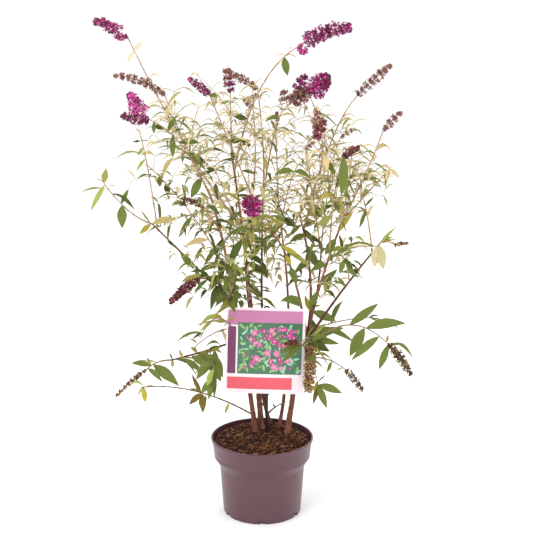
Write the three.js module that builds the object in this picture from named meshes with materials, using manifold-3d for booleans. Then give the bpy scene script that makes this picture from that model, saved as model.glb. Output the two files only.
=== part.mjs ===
// A butterfly bush grown in a round plastic pot, with the plant label that hangs on it.
//
// Millimetres, +Z up. The origin is the centre of the pot's underside, and the label faces -Y.
// Canes rise from the compost, boughs leave the canes, and every shoot of leaves or blossom is one solid
// that grows from its limb by a seeded rule. Neighbouring solids keep a small gap, so nothing overlaps.
import * as THREE from "three";
import { mergeVertices } from "three/addons/utils/BufferGeometryUtils.js";
import Module from "manifold-3d";

const wasm = await Module();
wasm.setup();

// ---------------------------------------------------------------- driving dimensions

const GAP = 0.3; // clear space between two neighbouring solids
const SLIVER = 0.02; // edges and steps smaller than this are merged away after the cuts
const SEED = 23;

const POT = {
  height: 177.5,
  rimRadius: 115,
  bandRadius: 108, // lower edge of the deep rim band
  bandBottom: 133,
  bodyTop: 112,
  bodyRadius: 95.5,
  baseRadius: 87.6,
  bead: 1.4, // how far the rolled lip stands out
  wall: 2.4,
  floor: 3,
  segments: 28,
  drains: 6,
  drain: [15, 9, 8], // length along the edge, depth inwards, height
};

const SOIL = {
  ground: 172, // the flat crown of the compost that the canes stand on
  crownRadius: 84,
  edgeHeight: 164,
};

const LABEL = {
  width: 175,
  height: 200,
  thickness: 1.2,
  corner: 4,
  centre: [7, 4, 378],
  lean: -1.6, // degrees that the card hangs out of level
  stickFoot: [11, 30, 172],
  stickTop: [11, 9, 468],
  stickWidth: 5.2,
  hookRadius: 6,
};

// What a shoot carries. Lengths are of a full-grown leaf, pitch spaces its leaf pairs, and angle and
// droop say how far a leaf stands off its stem and how much of its length it hangs by.
const HABITS = {
  broad: { length: 98, width: 27, pitch: 40, angle: 62,
    droop: 0.2, sideRate: 0.06, tone: 0x6f7f4a },
  middle: { length: 82, width: 19, pitch: 39, angle: 58,
    droop: 0.3, sideRate: 0.12, tone: 0x8d8f5c },
  fine: { length: 82, width: 15, pitch: 42, angle: 56,
    droop: 0.34, sideRate: 0.17, tone: 0xb5a77a },
};

// A few leaf buds grow into a side twig instead. It is `reach` to `reach + spread` leaves long, leans up by
// `rise`, bows by `bow` of its reach, and carries smaller leaves over the `leafy` share of it.
const SIDE_TWIG = { reach: 0.9, spread: 0.5, rise: 0.35, bow: 0.12, leafLength: 0.68, leafWidth: 0.75,
  pitch: 30, leafy: [0.45, 0.95], below: 0.85 };

const LEAF_THICKNESS = 1.4;
const LEAF_ROOT = 0.8; // height of the edge that sits in the twig
const LEAF_BELLY = 0.42; // share of its length at which a leaf is widest
const TWIG_RADIUS = 1.7;
const TWIG_TIP_RADIUS = 1.3;
const TWIG_SIDES = 3;
const CANE_SIDES = 6;
const SPIKE_SIDES = 5;
const SPIKE_FROM = 0.98; // share of the stem at which the flower spike begins
const CANE_FLARE = 2.6; // extra radius at a cane's foot
const BOUGH_COLLAR = 1; // extra radius where a bough leaves its limb
const FLARE_LENGTH = 14;

// Lengths of one straight piece of a cane or bough, a shoot's stem and a flower spike.
const LIMB_STEP = 70;
const STEM_STEP = 65;
const SPIKE_STEP = 20;

// Which throw of chance decides what. A pair's two leaves take the number given and the next one.
const THROW = { place: 1, turn: 2, round: 3, lift: 5, size: 7, droop: 9, twig: 11, reach: 20 };

// A limb or shoot leaves its start towards `heading` (degrees, 0 is +X and -90 the label side), reaches `out`
// sideways and climbs `up`. Its middle is pulled up by `arch` and to the left of its heading by `sweep`.
const CANES = [
  { name: "cane_left", foot: [-15, 42], heading: -165, out: 100, up: 560, arch: 110,
    girth: [13, 6] },
  { name: "cane_middle", foot: [-2, 56], heading: 140, out: 85, up: 630, arch: 10, sweep: -20,
    girth: [15, 5.4] },
  { name: "cane_thin", foot: [13, 70], heading: 160, out: 10, up: 575, arch: -20, sweep: 50,
    girth: [7.6, 4.8] },
  { name: "cane_right", foot: [58, 34], heading: 5, out: 45, up: 235, arch: 60, sweep: 20,
    girth: [15, 10] },
  { name: "cane_back", foot: [38, 60], heading: 90, out: 130, up: 475, arch: -10, sweep: -45,
    girth: [9, 5] },
  { name: "cane_rear", foot: [18, 88], heading: 115, out: 145, up: 415, arch: -40, sweep: 20,
    girth: [8.4, 4.8] },
];

const BOUGHS = [
  { name: "bough_upper", on: "cane_right", at: 1, heading: 105, out: 75, up: 260, sweep: -30,
    girth: [8.4, 5] },
  { name: "bough_cross", on: "cane_right", at: 0.97, heading: -145, out: 115, up: 270, arch: 100, sweep: 20,
    girth: [7.4, 4.8] },
  { name: "bough_outer", on: "cane_right", at: 0.93, heading: -10, out: 90, up: 300, arch: 50, sweep: -10,
    girth: [8, 5] },
  { name: "bough_reach", on: "cane_right", at: 0.88, heading: -30, out: 180, up: 255, arch: 10, sweep: -10,
    girth: [7.6, 4.8] },
  { name: "bough_inner", on: "cane_right", at: 0.84, heading: 70, out: 130, up: 210, sweep: -20,
    girth: [7.4, 4.6] },
  { name: "bough_left", on: "cane_left", at: 0.54, heading: -165, out: 185, up: 200, sweep: 20,
    girth: [7, 4.4] },
  { name: "bough_low_left", on: "cane_left", at: 0.4, heading: -160, out: 165, up: -30, sweep: 10,
    girth: [5.6, 4.2] },
  { name: "stub_dead", on: "cane_right", at: 0.05, heading: 180, out: 30, up: 12, girth: [7, 5] },
  { name: "twig_dead", on: "cane_thin", at: 0.06, heading: -20, out: 34, up: 30, arch: 4, sweep: 6,
    girth: [3.8, 2.8] },
];

// `leafy` is the share of the stem that carries leaves. A flower spike grows on from the tip of its stem.
const spikeOf = (girth, heading, out, up, arch) => ({ girth, heading, out, up, arch });
const MASSES = [
  // the crown
  { name: "spire_left", on: "cane_middle", at: 0.74, heading: -165, out: 250, up: 435, arch: -60, sweep: 10,
    girth: 5.4, habit: "fine", leafy: [0.34, 0.94], bloom: spikeOf(28, -150, 80, 45, 14) },
  { name: "plume_left", on: "cane_left", at: 1, heading: -130, out: 140, up: 240, arch: -20,
    girth: 5.4, habit: "fine", leafy: [0.2, 0.95], bloom: spikeOf(24, -160, 110, 45, 22) },
  { name: "bloom_left", on: "cane_left", at: 0.96, heading: -125, out: 220, up: 220, arch: 70, sweep: 10,
    girth: 5, habit: "fine", leafy: [0.2, 0.95], bloom: spikeOf(34, -135, 50, 60, -10) },
  { name: "sprig_left", on: "bough_cross", at: 1, heading: -160, out: 125, up: 300, arch: 10, sweep: -10,
    girth: 4.8, habit: "fine", leafy: [0.12, 0.95], bloom: spikeOf(20, -165, 45, 35, 6) },
  { name: "bloom_centre_left", on: "cane_middle", at: 1, heading: 95, out: 40, up: 135,
    girth: 5, habit: "fine", leafy: [0.15, 0.95], bloom: spikeOf(26, 125, 10, 55, 0) },
  { name: "arch_centre", on: "cane_thin", at: 1, heading: 110, out: 40, up: 205, arch: -20, sweep: -10,
    girth: 4.6, habit: "fine", leafy: [0.12, 0.92], bloom: spikeOf(22, -165, 80, 45, 10) },
  { name: "spire_right", on: "cane_middle", at: 0.94, heading: -35, out: 170, up: 290, arch: 90, sweep: -50,
    girth: 5, habit: "fine", leafy: [0.12, 0.92], bloom: spikeOf(38, 15, 125, 40, 22) },
  { name: "bloom_centre", on: "bough_upper", at: 1, heading: -85, out: 170, up: 295, sweep: 80,
    girth: 4.8, habit: "fine", leafy: [0.1, 0.92], bloom: spikeOf(50, -35, 45, 45, 14) },
  { name: "plume_centre", on: "cane_thin", at: 0.94, heading: -60, out: 105, up: 220, arch: 100,
    girth: 4.6, habit: "fine", leafy: [0.12, 0.92], bloom: spikeOf(30, -10, 55, 40, 10) },
  { name: "bloom_inner", on: "bough_upper", at: 0.93, heading: -85, out: 260, up: 240, sweep: 80,
    girth: 4.6, habit: "fine", leafy: [0.12, 0.92], bloom: spikeOf(28, -95, 20, 65, 0) },
  { name: "plume_right", on: "bough_upper", at: 0.86, heading: -5, out: 120, up: 310, arch: 100,
    girth: 4.8, habit: "fine", leafy: [0.15, 0.92], bloom: spikeOf(20, 15, 80, 65, 8) },
  { name: "plume_edge", on: "bough_outer", at: 1, heading: -20, out: 80, up: 190, arch: -10, sweep: 10,
    girth: 4.8, habit: "fine", leafy: [0.1, 0.92], bloom: spikeOf(20, 10, 40, 40, 4) },
  { name: "sprig_edge", on: "bough_outer", at: 0.95, heading: 25, out: 115, up: 105,
    girth: 4.2, habit: "fine", leafy: [0.2, 0.96] },
  { name: "sprig_right", on: "bough_inner", at: 1, heading: 60, out: 95, up: 235, arch: 110,
    girth: 4.4, habit: "fine", leafy: [0.1, 0.92], bloom: spikeOf(16, 15, 35, 20, 4) },
  { name: "bloom_dark", on: "bough_outer", at: 0.66, heading: -85, out: 205, up: 265, arch: 40, sweep: -10,
    girth: 4.4, habit: "middle", leafy: [0.25, 0.94], bloom: spikeOf(22, -35, 40, 25, 6) },
  { name: "sprig_upper", on: "cane_rear", at: 1, heading: 30, out: 25, up: 305, arch: -20, sweep: -60,
    girth: 4.6, habit: "fine", leafy: [0.1, 0.94], bloom: spikeOf(18, 175, 25, 25, 4) },
  { name: "sprig_back", on: "cane_back", at: 1, heading: 95, out: 80, up: 195,
    girth: 4.8, habit: "fine", leafy: [0.1, 0.94], bloom: spikeOf(18, 75, 10, 35, 0) },
  { name: "bloom_front", on: "cane_middle", at: 0.65, heading: -85, out: 275, up: 165, arch: -10,
    girth: 4.4, habit: "middle", leafy: [0.2, 0.9], bloom: spikeOf(44, -105, 50, 25, 6) },
  { name: "sprig_dotted", on: "cane_left", at: 0.85, heading: -105, out: 145, up: 90, arch: 10,
    girth: 4.2, habit: "middle", leafy: [0.2, 0.9], bloom: spikeOf(18, -140, 50, 25, 6) },
  { name: "return_right", on: "bough_reach", at: 0.93, heading: 120, out: 90, up: 150, arch: 70, sweep: -10,
    girth: 4.2, habit: "middle", leafy: [0.15, 0.96] },
  { name: "fill_left", on: "cane_rear", at: 0.94, heading: 125, out: 135, up: 175, arch: 30,
    girth: 4.4, habit: "fine", leafy: [0.1, 0.96] },
  { name: "fill_right", on: "bough_inner", at: 0.94, heading: 100, out: 185, up: 200,
    girth: 4.2, habit: "fine", leafy: [0.1, 0.96] },
  { name: "fill_outer", on: "bough_outer", at: 0.82, heading: 75, out: 150, up: 165, arch: -10, sweep: -10,
    girth: 4.2, habit: "middle", leafy: [0.12, 0.96] },
  { name: "fill_centre", on: "cane_back", at: 0.88, heading: -85, out: 235, up: 210, arch: -20, sweep: -20,
    girth: 4.4, habit: "fine", leafy: [0.15, 0.96] },
  { name: "back_left", on: "cane_left", at: 0.66, heading: 135, out: 280, up: 215, arch: 40, sweep: -10,
    girth: 4.4, habit: "middle", leafy: [0.18, 0.96] },
  // the sides and the skirt
  { name: "upright_left", on: "bough_left", at: 0.94, heading: 110, out: 135, up: 195, arch: 40,
    girth: 3.8, habit: "broad", leafy: [0.25, 0.96] },
  { name: "tip_left", on: "bough_left", at: 1, heading: -135, out: 130, up: 110, arch: -30,
    girth: 4, habit: "broad", leafy: [0.1, 0.96] },
  { name: "fan_right", on: "bough_reach", at: 1, heading: -60, out: 65, up: 15, arch: 20, sweep: -10,
    girth: 4.2, habit: "broad", leafy: [0.2, 0.7], bloom: spikeOf(13, -40, 35, 10, 2) },
  { name: "sprout_right", on: "bough_reach", at: 0.65, heading: -100, out: 125, up: 90, arch: 20,
    girth: 3.8, habit: "middle", leafy: [0.25, 0.96] },
  { name: "plume_low_left", on: "cane_left", at: 0.5, heading: -120, out: 165, up: 120, arch: 80,
    girth: 5, habit: "broad", leafy: [0.3, 0.8], bloom: spikeOf(22, -145, 70, -35, 8) },
  { name: "tuft_left", on: "cane_left", at: 0.47, heading: -95, out: 150, up: 180, arch: 10, sweep: -20,
    girth: 4.4, habit: "broad", leafy: [0.4, 0.96] },
  { name: "leaves_yellow", on: "cane_left", at: 0.37, heading: -125, out: 155, up: 60, arch: 110, sweep: -10,
    girth: 4, habit: "broad", leafy: [0.4, 0.96] },
  { name: "droop_left", on: "bough_low_left", at: 0.5, heading: -80, out: 110, up: -10, arch: 30,
    girth: 3.6, habit: "broad", leafy: [0.3, 0.96] },
  { name: "trail_left", on: "bough_low_left", at: 1, heading: -145, out: 65, up: -10, arch: 10, sweep: -10,
    girth: 4, habit: "broad", leafy: [0.1, 0.8], bloom: spikeOf(16, -150, 75, -50, 8) },
  { name: "trail_low", on: "cane_left", at: 0.12, heading: -150, out: 280, up: 105, arch: -10, sweep: -20,
    girth: 4, habit: "broad", leafy: [0.36, 0.96] },
  { name: "spray_right", on: "cane_right", at: 0.78, heading: -35, out: 230, up: 65, arch: 140, sweep: 10,
    girth: 5, habit: "broad", leafy: [0.25, 0.95], bloom: spikeOf(18, -35, 60, -60, 10) },
  { name: "spray_low_right", on: "cane_right", at: 0.7, heading: -55, out: 175, up: 30, arch: 40,
    girth: 4.2, habit: "broad", leafy: [0.3, 0.95], bloom: spikeOf(16, -35, 40, -35, 6) },
  { name: "plume_hanging", on: "cane_right", at: 0.62, heading: -60, out: 60, up: 75, arch: 30,
    girth: 4.4, habit: "broad", leafy: [0.4, 0.8], bloom: spikeOf(26, -115, 15, -105, 0) },
  { name: "sprig_front", on: "cane_right", at: 0.54, heading: -90, out: 95, up: 120, arch: 30, sweep: 40,
    girth: 4, habit: "broad", leafy: [0.5, 0.9], bloom: spikeOf(16, -145, 35, 0, 2) },
  { name: "rear_low_left", on: "cane_rear", at: 0.5, heading: 130, out: 225, up: -100, arch: 50,
    girth: 4.2, habit: "broad", leafy: [0.25, 0.96] },
  { name: "rear_low_right", on: "cane_back", at: 0.42, heading: 45, out: 300, up: -15, arch: 30, sweep: -10,
    girth: 4.4, habit: "broad", leafy: [0.25, 0.96] },
];

const PLASTIC = { color: 0x7c5b62, roughness: 0.5, metalness: 0 };
const COMPOST = { color: 0x563121, roughness: 0.95, metalness: 0 };
const BARK = { color: 0x8a6f52, roughness: 0.85, metalness: 0 };
const CARD = { color: 0xd9a3bb, roughness: 0.35, metalness: 0 };
const STICK = { color: 0x15130f, roughness: 0.5, metalness: 0 };

// ---------------------------------------------------------------- solids

const UP = new THREE.Vector3(0, 0, 1);

function solid(geometry) {
  const bare = geometry.clone();
  bare.deleteAttribute("normal");
  bare.deleteAttribute("uv");
  const merged = mergeVertices(bare, 1e-4);
  return new wasm.Manifold(
    new wasm.Mesh({
      numProp: 3,
      vertProperties: merged.attributes.position.array,
      triVerts: new Uint32Array(merged.index.array),
    }),
  );
}

function boxOf(made) {
  const { min, max } = made.boundingBox();
  return new THREE.Box3(new THREE.Vector3(...min), new THREE.Vector3(...max));
}

const keep = (made) => ({ made, box: boxOf(made) });

function touches(made, others) {
  const box = boxOf(made);
  return others.some((other) => box.intersectsBox(other.box) && !made.intersect(other.made).isEmpty());
}

// The biggest body of a solid, with any scrap that a cut left beside it dropped.
function mainBody(made) {
  return made.decompose().reduce((best, body) => (body.volume() > best.volume() ? body : best));
}

function cutClear(made, others) {
  const box = boxOf(made);
  const near = others.filter((other) => box.intersectsBox(other.box));
  return mainBody(near.reduce((rest, other) => rest.subtract(other.made), made));
}

function mesh(name, made, look) {
  const { vertProperties, triVerts } = made.simplify(SLIVER).getMesh();
  const geometry = new THREE.BufferGeometry();
  geometry.setAttribute("position", new THREE.BufferAttribute(vertProperties, 3));
  geometry.setIndex(new THREE.BufferAttribute(triVerts, 1));
  geometry.computeVertexNormals();
  const node = new THREE.Mesh(geometry, new THREE.MeshStandardMaterial(look));
  node.name = name;
  return node;
}

// ---------------------------------------------------------------- the growing rule

// A number from 0 to 1 that depends only on its whole-number keys, so that the plant is the same each time.
function chance(...keys) {
  let h = SEED;
  for (const key of keys) {
    h = Math.imul(h ^ key, 0x9e3779b1);
    h = (h ^ (h >>> 15)) | 0;
    h = Math.imul(h, 0x85ebca6b);
    h = (h ^ (h >>> 13)) | 0;
  }
  return (h >>> 0) / 4294967296;
}

const lerp = THREE.MathUtils.lerp;
const radians = THREE.MathUtils.degToRad;
const compass = (degrees) => new THREE.Vector3(Math.cos(radians(degrees)), Math.sin(radians(degrees)), 0);

function routeOf(start, { heading, out, up, arch = 0, sweep = 0 }) {
  const end = start.clone().addScaledVector(compass(heading), out).addScaledVector(UP, up);
  const middle = start.clone().lerp(end, 0.5).addScaledVector(UP, arch);
  middle.addScaledVector(compass(heading + 90), sweep);
  return new THREE.QuadraticBezierCurve3(start, middle, end);
}

// Square axes across the curve at a share t of its length. A curve here lies in one plane, and `side` is
// square to that plane, so the axes don't twist; on a straight one it is level.
function axesAt(curve, t) {
  const along = curve.getTangentAt(t);
  const [start, middle, end] = [0, 0.5, 1].map((share) => curve.getPointAt(share));
  const side = new THREE.Vector3().crossVectors(middle.sub(start), end.sub(start));
  if (side.length() < 1e-3 * end.lengthSq()) side.crossVectors(UP, along);
  if (side.lengthSq() < 1e-6) side.set(1, 0, 0);
  side.normalize();
  return { along, side, over: new THREE.Vector3().crossVectors(along, side) };
}

// A closed limb whose radius at each share of its length is given by radiusAt.
function limb(curve, radiusAt, sides, rings) {
  const geometry = new THREE.CylinderGeometry(1, 1, 1, sides, rings);
  const position = geometry.attributes.position;
  const point = new THREE.Vector3();
  for (let i = 0; i < position.count; i++) {
    point.fromBufferAttribute(position, i);
    const t = point.y + 0.5;
    const radius = radiusAt(t) * Math.hypot(point.x, point.z);
    const angle = Math.atan2(point.x, point.z);
    const { side, over } = axesAt(curve, t);
    point.copy(curve.getPointAt(t));
    point.addScaledVector(side, radius * Math.cos(angle)).addScaledVector(over, radius * Math.sin(angle));
    position.setXYZ(i, point.x, point.y, point.z);
  }
  return solid(geometry);
}

// A pointed blade with a raised rib, a flat underside and an upright root edge that sits in its twig. It
// lies along `along`, faces `face`, and hangs down towards its tip by `droop` of its length.
function leaf({ root, along, face, length, width, droop }, spare = 0) {
  const across = new THREE.Vector3().crossVectors(along, face).normalize();
  const normal = new THREE.Vector3().crossVectors(across, along).normalize();
  const at = (forward, sideways, raised, hang) =>
    root
      .clone()
      .addScaledVector(along, forward)
      .addScaledVector(across, sideways)
      .addScaledVector(normal, raised)
      .addScaledVector(UP, -hang * droop * length);
  const half = LEAF_THICKNESS / 2;
  const reach = (1 - 0.4 * droop) * length + spare;
  const belly = LEAF_BELLY * length;
  const points = [
    at(0.1, 0, LEAF_ROOT / 2 + spare, 0),
    at(0.1, 0, -LEAF_ROOT / 2 - spare, 0),
    at(belly, -width / 2 - spare, -half - spare, 0.12),
    at(belly, width / 2 + spare, -half - spare, 0.12),
    at(belly, 0, half + spare, 0.12),
    at(reach, 0, 0, 1),
  ];
  const geometry = new THREE.BufferGeometry().setFromPoints(points);
  geometry.setIndex([0, 3, 4, 0, 4, 2, 3, 5, 4, 4, 5, 2, 1, 2, 3, 2, 5, 3, 0, 1, 3, 1, 0, 2]);
  return solid(geometry);
}

// A flower spike: a lumpy spindle that swells early and tapers to its tip.
function spike(curve, girth, spare = 0) {
  const rings = Math.max(4, Math.round(curve.getLength() / SPIKE_STEP));
  const swell = (t) => Math.pow(Math.sin(Math.PI * (0.1 + 0.8 * Math.pow(t, 0.8))), 0.7);
  const lump = (t) => 1 + 0.16 * Math.cos(Math.PI * rings * t);
  return limb(curve, (t) => (girth / 2) * swell(t) * lump(t) + spare, SPIKE_SIDES, rings);
}

const twigRadius = (girth) => (t) => lerp(girth / 2, TWIG_RADIUS, Math.pow(t, 0.8));

// The pairs of leaves along a stem. Each pair stands square to the last, and leaves shorten up the stem.
function leafPairs(curve, { length, width, pitch, angle, droop }, [from, to], keys) {
  const found = [];
  const pairs = Math.max(1, Math.round(((to - from) * curve.getLength()) / pitch));
  for (let pair = 0; pair < pairs; pair++) {
    const thrown = (which) => chance(...keys, pair, which);
    const step = pairs > 1 ? (pair + 0.4 * thrown(THROW.place)) / (pairs - 0.6) : 0.8;
    const share = Math.min(lerp(from, to, step), 1);
    const { along, side, over } = axesAt(curve, share);
    const turn = (pair % 2) * (Math.PI / 2) + 0.8 * (thrown(THROW.turn) - 0.5);
    for (const half of [0, 1]) {
      const round = turn + half * Math.PI + 0.5 * (thrown(THROW.round + half) - 0.5);
      const outward = side.clone().multiplyScalar(Math.cos(round)).addScaledVector(over, Math.sin(round));
      const lift = radians(angle + 22 * (thrown(THROW.lift + half) - 0.5));
      const size = (0.72 + 0.4 * thrown(THROW.size + half)) * (1 - 0.18 * share);
      const direction = along.clone().multiplyScalar(Math.cos(lift));
      found.push({
        root: curve.getPointAt(share),
        along: direction.addScaledVector(outward, Math.sin(lift)).normalize(),
        face: UP.clone().addScaledVector(along, 0.8),
        length: length * size,
        width: width * (0.4 + 0.6 * size),
        droop: droop * (0.5 + thrown(THROW.droop + half)),
        share,
        keys: [...keys, pair, half],
      });
    }
  }
  return found;
}

// One shoot: its stem and flower spike, which always grow, then the leaves and side twigs that find room.
function stemOf({ girth, bloom }, curve) {
  const rings = Math.max(3, Math.round(curve.getLength() / STEM_STEP));
  const blossom = bloom && routeOf(curve.getPointAt(SPIKE_FROM), bloom);
  const build = (spare) => {
    const stem = limb(curve, (t) => twigRadius(girth)(t) + spare, TWIG_SIDES, rings);
    return blossom ? stem.add(spike(blossom, bloom.girth, spare)) : stem;
  };
  return { slim: build(0), wide: build(GAP) };
}

function sideTwig({ root, along, keys }, habit) {
  const reach = habit.length * (SIDE_TWIG.reach + SIDE_TWIG.spread * chance(...keys, THROW.reach));
  const direction = along.clone().addScaledVector(UP, SIDE_TWIG.rise).normalize();
  const end = root.clone().addScaledVector(direction, reach);
  const middle = root.clone().lerp(end, 0.5).addScaledVector(UP, SIDE_TWIG.bow * reach);
  return new THREE.QuadraticBezierCurve3(root, middle, end);
}

function grow(spec, index, curve, stem, taken) {
  const habit = HABITS[spec.habit];
  const pieces = [stem];
  const place = (piece, clearance) => {
    if (touches(clearance, taken)) return false;
    pieces.push(piece);
    return true;
  };
  const placeLeaf = (blade) => place(leaf(blade), leaf(blade, GAP));
  const smaller = {
    ...habit,
    length: SIDE_TWIG.leafLength * habit.length,
    width: SIDE_TWIG.leafWidth * habit.width,
    pitch: SIDE_TWIG.pitch,
  };
  for (const spot of leafPairs(curve, habit, spec.leafy, [index])) {
    const branches = chance(...spot.keys, THROW.twig) < habit.sideRate && spot.share < SIDE_TWIG.below;
    if (!branches) {
      placeLeaf(spot);
      continue;
    }
    const twig = sideTwig(spot, habit);
    const build = (spare) => limb(twig, (t) => lerp(TWIG_RADIUS, TWIG_TIP_RADIUS, t) + spare, TWIG_SIDES, 2);
    if (place(build(0), build(GAP))) leafPairs(twig, smaller, SIDE_TWIG.leafy, spot.keys).forEach(placeLeaf);
  }
  return mainBody(pieces.reduce((whole, piece) => whole.add(piece)));
}

// ---------------------------------------------------------------- pot, compost and label

function turned(profile, segments) {
  const points = profile.map(([r, z]) => new THREE.Vector2(r, z));
  return solid(new THREE.LatheGeometry(points, segments).rotateX(Math.PI / 2));
}

function pot() {
  const { height, rimRadius, bandRadius, bandBottom, bodyTop, bodyRadius, baseRadius } = POT;
  const { bead, wall, floor } = POT;
  const outside = [
    [0, 0],
    [baseRadius - 3, 0],
    [baseRadius, 3],
    [bodyRadius, bodyTop],
    [bandRadius - 1.5, bandBottom - 3],
    [bandRadius, bandBottom],
    [rimRadius - bead - 1, height - 9],
    [rimRadius, height - 5],
    [rimRadius, height - 1],
    [rimRadius - 1.5, height],
  ];
  const inside = [
    [rimRadius - bead - wall, height],
    [bandRadius - wall, bandBottom + 1],
    [bodyRadius - wall, bodyTop + 1],
    [baseRadius - wall, floor + 3],
    [baseRadius - wall - 3, floor],
    [0, floor],
  ];
  const [length, depth, tall] = POT.drain;
  const whole = turned([...outside, ...inside], POT.segments);
  return Array.from({ length: POT.drains }, (_, i) => {
    const notch = new THREE.BoxGeometry(2 * depth, length, tall);
    return solid(notch.translate(baseRadius, 0, 0).rotateZ(((i + 0.5) * 2 * Math.PI) / POT.drains));
  }).reduce((rest, notch) => rest.subtract(notch), whole);
}

function compost() {
  const { height, rimRadius, bandRadius, bandBottom, bodyTop, bodyRadius, baseRadius, bead } = POT;
  const { ground, crownRadius, edgeHeight } = SOIL;
  const [, drainDepth, drainHeight] = POT.drain;
  const floor = POT.floor + GAP;
  const slack = POT.wall + 2 * GAP;
  const upTheBand = (edgeHeight - bandBottom) / (height - bandBottom);
  const wide = lerp(bandRadius, rimRadius - bead, upTheBand) - slack;
  return turned(
    [
      [0, floor],
      [baseRadius - drainDepth - 3, floor],
      [baseRadius - drainDepth - 1, drainHeight],
      [baseRadius - slack, drainHeight + 6],
      [bodyRadius - slack - 0.5, bodyTop],
      [bandRadius - slack - 0.5, bandBottom],
      [wide, edgeHeight],
      [lerp(crownRadius, wide, 0.5), ground - 3],
      [crownRadius, ground],
      [0, ground],
    ],
    POT.segments,
  );
}

function labelCard() {
  const { width, height, thickness, corner, centre, lean } = LABEL;
  const [x, y] = [width / 2, height / 2];
  const outline = new THREE.Shape();
  outline.moveTo(corner - x, -y);
  outline.lineTo(x - corner, -y).quadraticCurveTo(x, -y, x, corner - y);
  outline.lineTo(x, y - corner).quadraticCurveTo(x, y, x - corner, y);
  outline.lineTo(corner - x, y).quadraticCurveTo(-x, y, -x, y - corner);
  outline.lineTo(-x, corner - y).quadraticCurveTo(-x, -y, corner - x, -y);
  const cut = { depth: thickness, bevelEnabled: false, curveSegments: 2 };
  const card = new THREE.ExtrudeGeometry(outline, cut);
  card.rotateX(Math.PI / 2).rotateY(radians(-lean)).translate(...centre);
  return solid(card);
}

function labelStick() {
  const { stickFoot, stickTop, stickWidth, hookRadius } = LABEL;
  const foot = new THREE.Vector3(...stickFoot).addScaledVector(UP, GAP);
  const top = new THREE.Vector3(...stickTop);
  const rod = limb(new THREE.LineCurve3(foot, top), () => stickWidth / 2, 6, 1);
  const ring = new THREE.TorusGeometry(hookRadius, stickWidth / 3, 6, 12).rotateX(Math.PI / 2);
  return rod.add(solid(ring.translate(top.x, top.y, top.z + hookRadius)));
}

// ---------------------------------------------------------------- the whole plant

const bush = new THREE.Group();
const compostSolid = compost();
const card = labelCard();
const stick = labelStick();
bush.add(mesh("pot", pot(), PLASTIC));
bush.add(mesh("compost", compostSolid, COMPOST));
bush.add(mesh("label_card", card, CARD));
bush.add(mesh("label_stick", stick, STICK));

const routes = {};
const wides = []; // every limb and stem, a gap wider than it is
const furniture = [keep(compostSolid), keep(card), keep(stick)];

// Everything up to the level that the canes are cut off at.
const below = new THREE.BoxGeometry(3 * POT.rimRadius, 3 * POT.rimRadius, SOIL.ground);
const ground = keep(solid(below.translate(0, 0, SOIL.ground / 2 + GAP)));

// A cane widens over its lowest part into a root flare; a bough has a collar where it leaves its limb.
function limbRadius([thick, thin], length, flare) {
  return (t) => lerp(thick, thin, t) / 2 + flare * Math.exp((-t * length) / FLARE_LENGTH);
}

function addLimb(spec, start, flare) {
  const curve = routeOf(start, spec);
  const length = curve.getLength();
  const rings = Math.max(2, Math.round(length / LIMB_STEP));
  const radiusAt = limbRadius(spec.girth, length, flare);
  const slim = limb(curve, radiusAt, CANE_SIDES, rings);
  const made = cutClear(slim, [...wides, ground]);
  routes[spec.name] = curve;
  const tail = curve.getPointAt(1).addScaledVector(curve.getTangentAt(1), GAP);
  const wideRoute = new THREE.QuadraticBezierCurve3(curve.v0, curve.v1, tail);
  wides.push(keep(limb(wideRoute, (t) => radiusAt(t) + GAP, CANE_SIDES, rings)));
  bush.add(mesh(spec.name, made, BARK));
}

for (const spec of CANES) {
  const [x, y] = spec.foot;
  addLimb(spec, new THREE.Vector3(x, y, SOIL.ground - 2), CANE_FLARE);
}
for (const spec of BOUGHS) addLimb(spec, routes[spec.on].getPointAt(spec.at), BOUGH_COLLAR);

const stems = [];
for (const spec of MASSES) {
  const curve = routeOf(routes[spec.on].getPointAt(spec.at), spec);
  const { slim, wide } = stemOf(spec, curve);
  const made = cutClear(slim, [...wides, ...furniture]);
  stems.push({ spec, curve, made });
  wides.push({ ...keep(wide), owner: spec.name });
}

const grown = [];
stems.forEach(({ spec, curve, made }, index) => {
  const others = wides.filter(({ owner }) => owner !== spec.name);
  const whole = grow(spec, index, curve, made, [...others, ...furniture, ...grown]);
  grown.push(keep(whole));
  bush.add(mesh(spec.name, whole, { color: HABITS[spec.habit].tone, roughness: 0.8, metalness: 0 }));
});

export default bush;
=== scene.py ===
"""Dresses the packed solids of a butterfly bush in its pot: bark, shoots, leaves, blossom, pot and label."""
import math

import bpy
import numpy as np
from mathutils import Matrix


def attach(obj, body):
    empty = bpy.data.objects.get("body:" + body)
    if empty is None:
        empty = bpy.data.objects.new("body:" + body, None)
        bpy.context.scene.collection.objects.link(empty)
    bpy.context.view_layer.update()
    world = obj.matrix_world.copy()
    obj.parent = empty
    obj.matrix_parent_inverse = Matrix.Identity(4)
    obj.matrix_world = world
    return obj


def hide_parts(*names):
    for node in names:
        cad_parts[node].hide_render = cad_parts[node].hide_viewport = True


bl_info = {
    "name": "Butterfly bush in a pot",
    "version": (1, 0, 0),
    "blender": (4, 5, 0),
    "location": "View3D > Sidebar > Bush",
    "description": "Grows the bark, shoots, leaves and blossom of a potted butterfly bush over its solids",
    "category": "Add Mesh",
}

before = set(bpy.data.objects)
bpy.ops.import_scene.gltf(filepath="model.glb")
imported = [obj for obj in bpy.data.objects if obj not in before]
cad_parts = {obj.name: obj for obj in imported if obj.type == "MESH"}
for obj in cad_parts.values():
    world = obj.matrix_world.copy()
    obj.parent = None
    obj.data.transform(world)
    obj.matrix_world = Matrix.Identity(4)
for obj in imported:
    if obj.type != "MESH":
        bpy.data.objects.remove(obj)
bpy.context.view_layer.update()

MM = 0.001
UP = np.array([0.0, 0.0, 1.0])


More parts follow.
